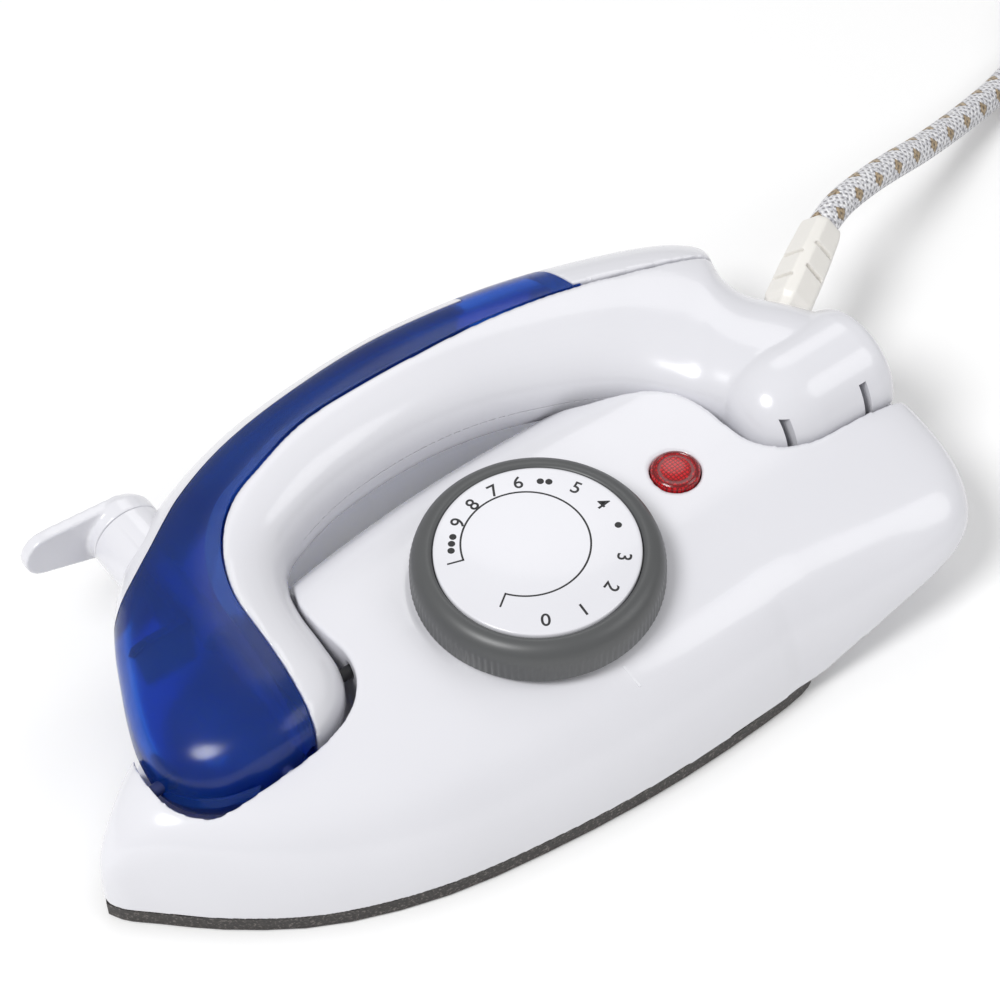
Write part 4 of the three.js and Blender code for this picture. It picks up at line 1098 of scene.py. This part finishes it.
def tube(name, line, radius, sides):
    """Round tube along a line, with its length and turn as UV."""
    spots = [Vector(p) for p in line]
    turns = [math.tau * k / sides for k in range(sides)]
    rings = []
    up = Vector((0, 0, 1))
    for i, p in enumerate(spots):
        way = (spots[min(i + 1, len(spots) - 1)] - spots[max(i - 1, 0)]).normalized()
        side = way.cross(up).normalized()
        up = side.cross(way).normalized()
        rings.append([
            tuple(p + side * radius * math.cos(t) + up * radius * math.sin(t)) for t in turns])
    made = loft(name, rings)
    lengths = [0.0]
    for a, b in zip(spots, spots[1:]):
        lengths.append(lengths[-1] + (b - a).length / (2 * radius))
    layer = made.data.uv_layers.new(name="UVMap")
    for face in made.data.polygons:
        corners = [made.data.loops[i].vertex_index for i in face.loop_indices]
        wraps = {0, sides - 1} <= {v % sides for v in corners}
        for loop_index, vertex in zip(face.loop_indices, corners):
            ring, k = divmod(vertex, sides)
            turn = 1.0 if wraps and k == 0 else k / sides
            layer.data[loop_index].uv = (lengths[ring], turn)
    return shade(made), lengths[-1] * 2 * radius


def make_cord(braid):
    """The lead from its seat in the boot to the plug, its middle line and its length."""
    seat = tuple(RELIEF_FROM.lerp(RELIEF_TO, 0.9))
    line = smooth_line([seat, *CORD_ROUTE, *coil_line(), *TAIL_ROUTE], 3)
    cord, length = tube("power_cord", line, CORD_R, 16)
    cord.data.materials.append(braid)
    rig.slot(cord, "cord_braid")
    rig.blend(cord, "handle", "body", start=Vector(CORD_ROUTE[0]) * MM, end=Vector(LEAD_STILL) * MM)
    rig.replaces(cord, "cord", "cord_coil", "cord_tail")
    return cord, line, length * MM


def declare_cord(cord, line, length, pieces):
    """States the lead's facts; its length is that of its own middle line."""
    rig.cord(
        cord, exit=Vector(CORD_ROUTE[0]) * MM, length=length, diameter=2 * CORD_R * MM, far_end="plug",
        stiffness="medium", lay="coiled", path=[Vector(p) * MM for p in line],
        with_pieces=[*pieces, "plug_blade_left", "plug_blade_right"])


# ------------------------------------------------------------------ stage

FLOOR_HALF = 6000
# Name, place and width in metres, and power in watts.
STUDIO_LIGHTS = [
    ("key", (-0.6, -0.05, 1.0), 0.45, 8.4), ("fill", (0.75, -0.6, 0.9), 0.7, 2.6),
    ("rim", (0.5, 0.6, 0.8), 0.5, 1),
]
LIGHTS_AIM = Vector((0.03, 0.01, 0.02))


def make_stage():
    """Pale floor, even surroundings and three soft lights."""
    surface = Surface("studio_floor", (0.94, 0.94, 0.94), 0.8)
    surface.color(surface.ramp(surface.noise(3, 2), [
        (0.3, (0.935, 0.935, 0.935)), (0.7, (0.95, 0.95, 0.95))]))
    half = FLOOR_HALF
    corners = [(-half, -half, 0), (half, -half, 0), (half, half, 0), (-half, half, 0)]
    floor = mesh_object("studio_floor", corners, [(0, 1, 2, 3)])
    floor.data.materials.append(surface.material)
    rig.stage(floor)
    world = bpy.data.worlds.new("studio")
    world.use_nodes = True
    background = world.node_tree.nodes["Background"]
    background.inputs["Color"].default_value = (1, 1, 1, 1)
    background.inputs["Strength"].default_value = 0.5
    bpy.context.scene.world = world
    bpy.context.scene.view_settings.view_transform = "Standard"
    for name, place, size, power in STUDIO_LIGHTS:
        data = bpy.data.lights.new(name, "AREA")
        data.shape = "DISK"
        data.size = size
        data.energy = power
        light = bpy.data.objects.new(name, data)
        light.location = place
        light.rotation_euler = (LIGHTS_AIM - light.location).to_track_quat("-Z", "Y").to_euler()
        bpy.context.scene.collection.objects.link(light)


# ------------------------------------------------------------------ carried-over CAD nodes

def dress_nodes(looks):
    """Every CAD piece that still shows wears the look of its material slot."""
    for row in frame["record"]["subparts"]:
        node = frame["nodes"][row["node"]]
        if node.hide_render:
            continue
        node.data.materials.clear()
        node.data.materials.append(looks[row["material_slot"]])


def main():
    make_camera()
    braid = braid_white()
    cord, line, length = make_cord(braid)
    make_stage()
    white = white_gloss()
    ivory = moulded("ivory_satin", (0.82, 0.8, 0.76), 0.32)
    grey = moulded("dial_grey", (0.085, 0.088, 0.09), 0.36, spread=0.1, grain=2400, depth=0.006)
    black = moulded("ink_black", (0.012, 0.012, 0.014), 0.4, spread=0.2)
    blue = tank_blue()
    navy = moulded("tank_navy", (0.01, 0.02, 0.11), 0.4)
    grey_pale = moulded("grey_pale", (0.5, 0.52, 0.6), 0.35)
    red = lamp_red()
    make_housing(white)
    make_handle(white, blue)
    make_tank_inside(navy, grey_pale)
    make_pins(navy, black)
    boot = make_relief(ivory)
    softened_node("steam_lever", "lever_knob", 0.35, 6, "lever", "white_plastic", white)
    plug = softened_node("plug_body", "plug_shell", 0.6, 8, "body", "ivory_plastic", ivory)
    make_dial(grey, white, black)
    make_lamp(red)
    make_pointer(white)
    looks = {
        "sole_coating": sole_coating(), "cast_aluminium": metal("cast_metal", (0.6, 0.61, 0.62), 0.5),
        "steel": metal("plated_steel", (0.55, 0.56, 0.57), 0.32, (1, 8, 8)),
        "white_plastic": white, "red_lens": red,
        "lamp_glass": moulded("lamp_glass", (0.8, 0.55, 0.4), 0.1, Transmission_Weight=0.8),
        "ceramic": moulded("ceramic", (0.75, 0.71, 0.62), 0.55, spread=0.08),
        "brass": metal("brass", (0.7, 0.52, 0.22), 0.3, (8, 1, 1)),
        "seal_rubber": moulded("seal_rubber", (0.03, 0.03, 0.032), 0.7),
        "wire_brown": moulded("wire_brown", (0.12, 0.05, 0.02), 0.5),
        "wire_blue": moulded("wire_blue", (0.02, 0.09, 0.4), 0.5),
        "wire_green": moulded("wire_green", (0.1, 0.3, 0.05), 0.5),
        "grey_plastic": grey, "blue_tank": blue, "ivory_plastic": ivory, "cord_braid": braid,
        "black_plastic": black,
    }
    dress_nodes(looks)
    declare_cord(cord, line, length, [boot, plug, make_tie(black)])


main()
with open(SIZE_FILE, "w") as out:
    json.dump({"cad": [list(p) for p in CAD_BOX], "visual": [list(p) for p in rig.bounds()]}, out)
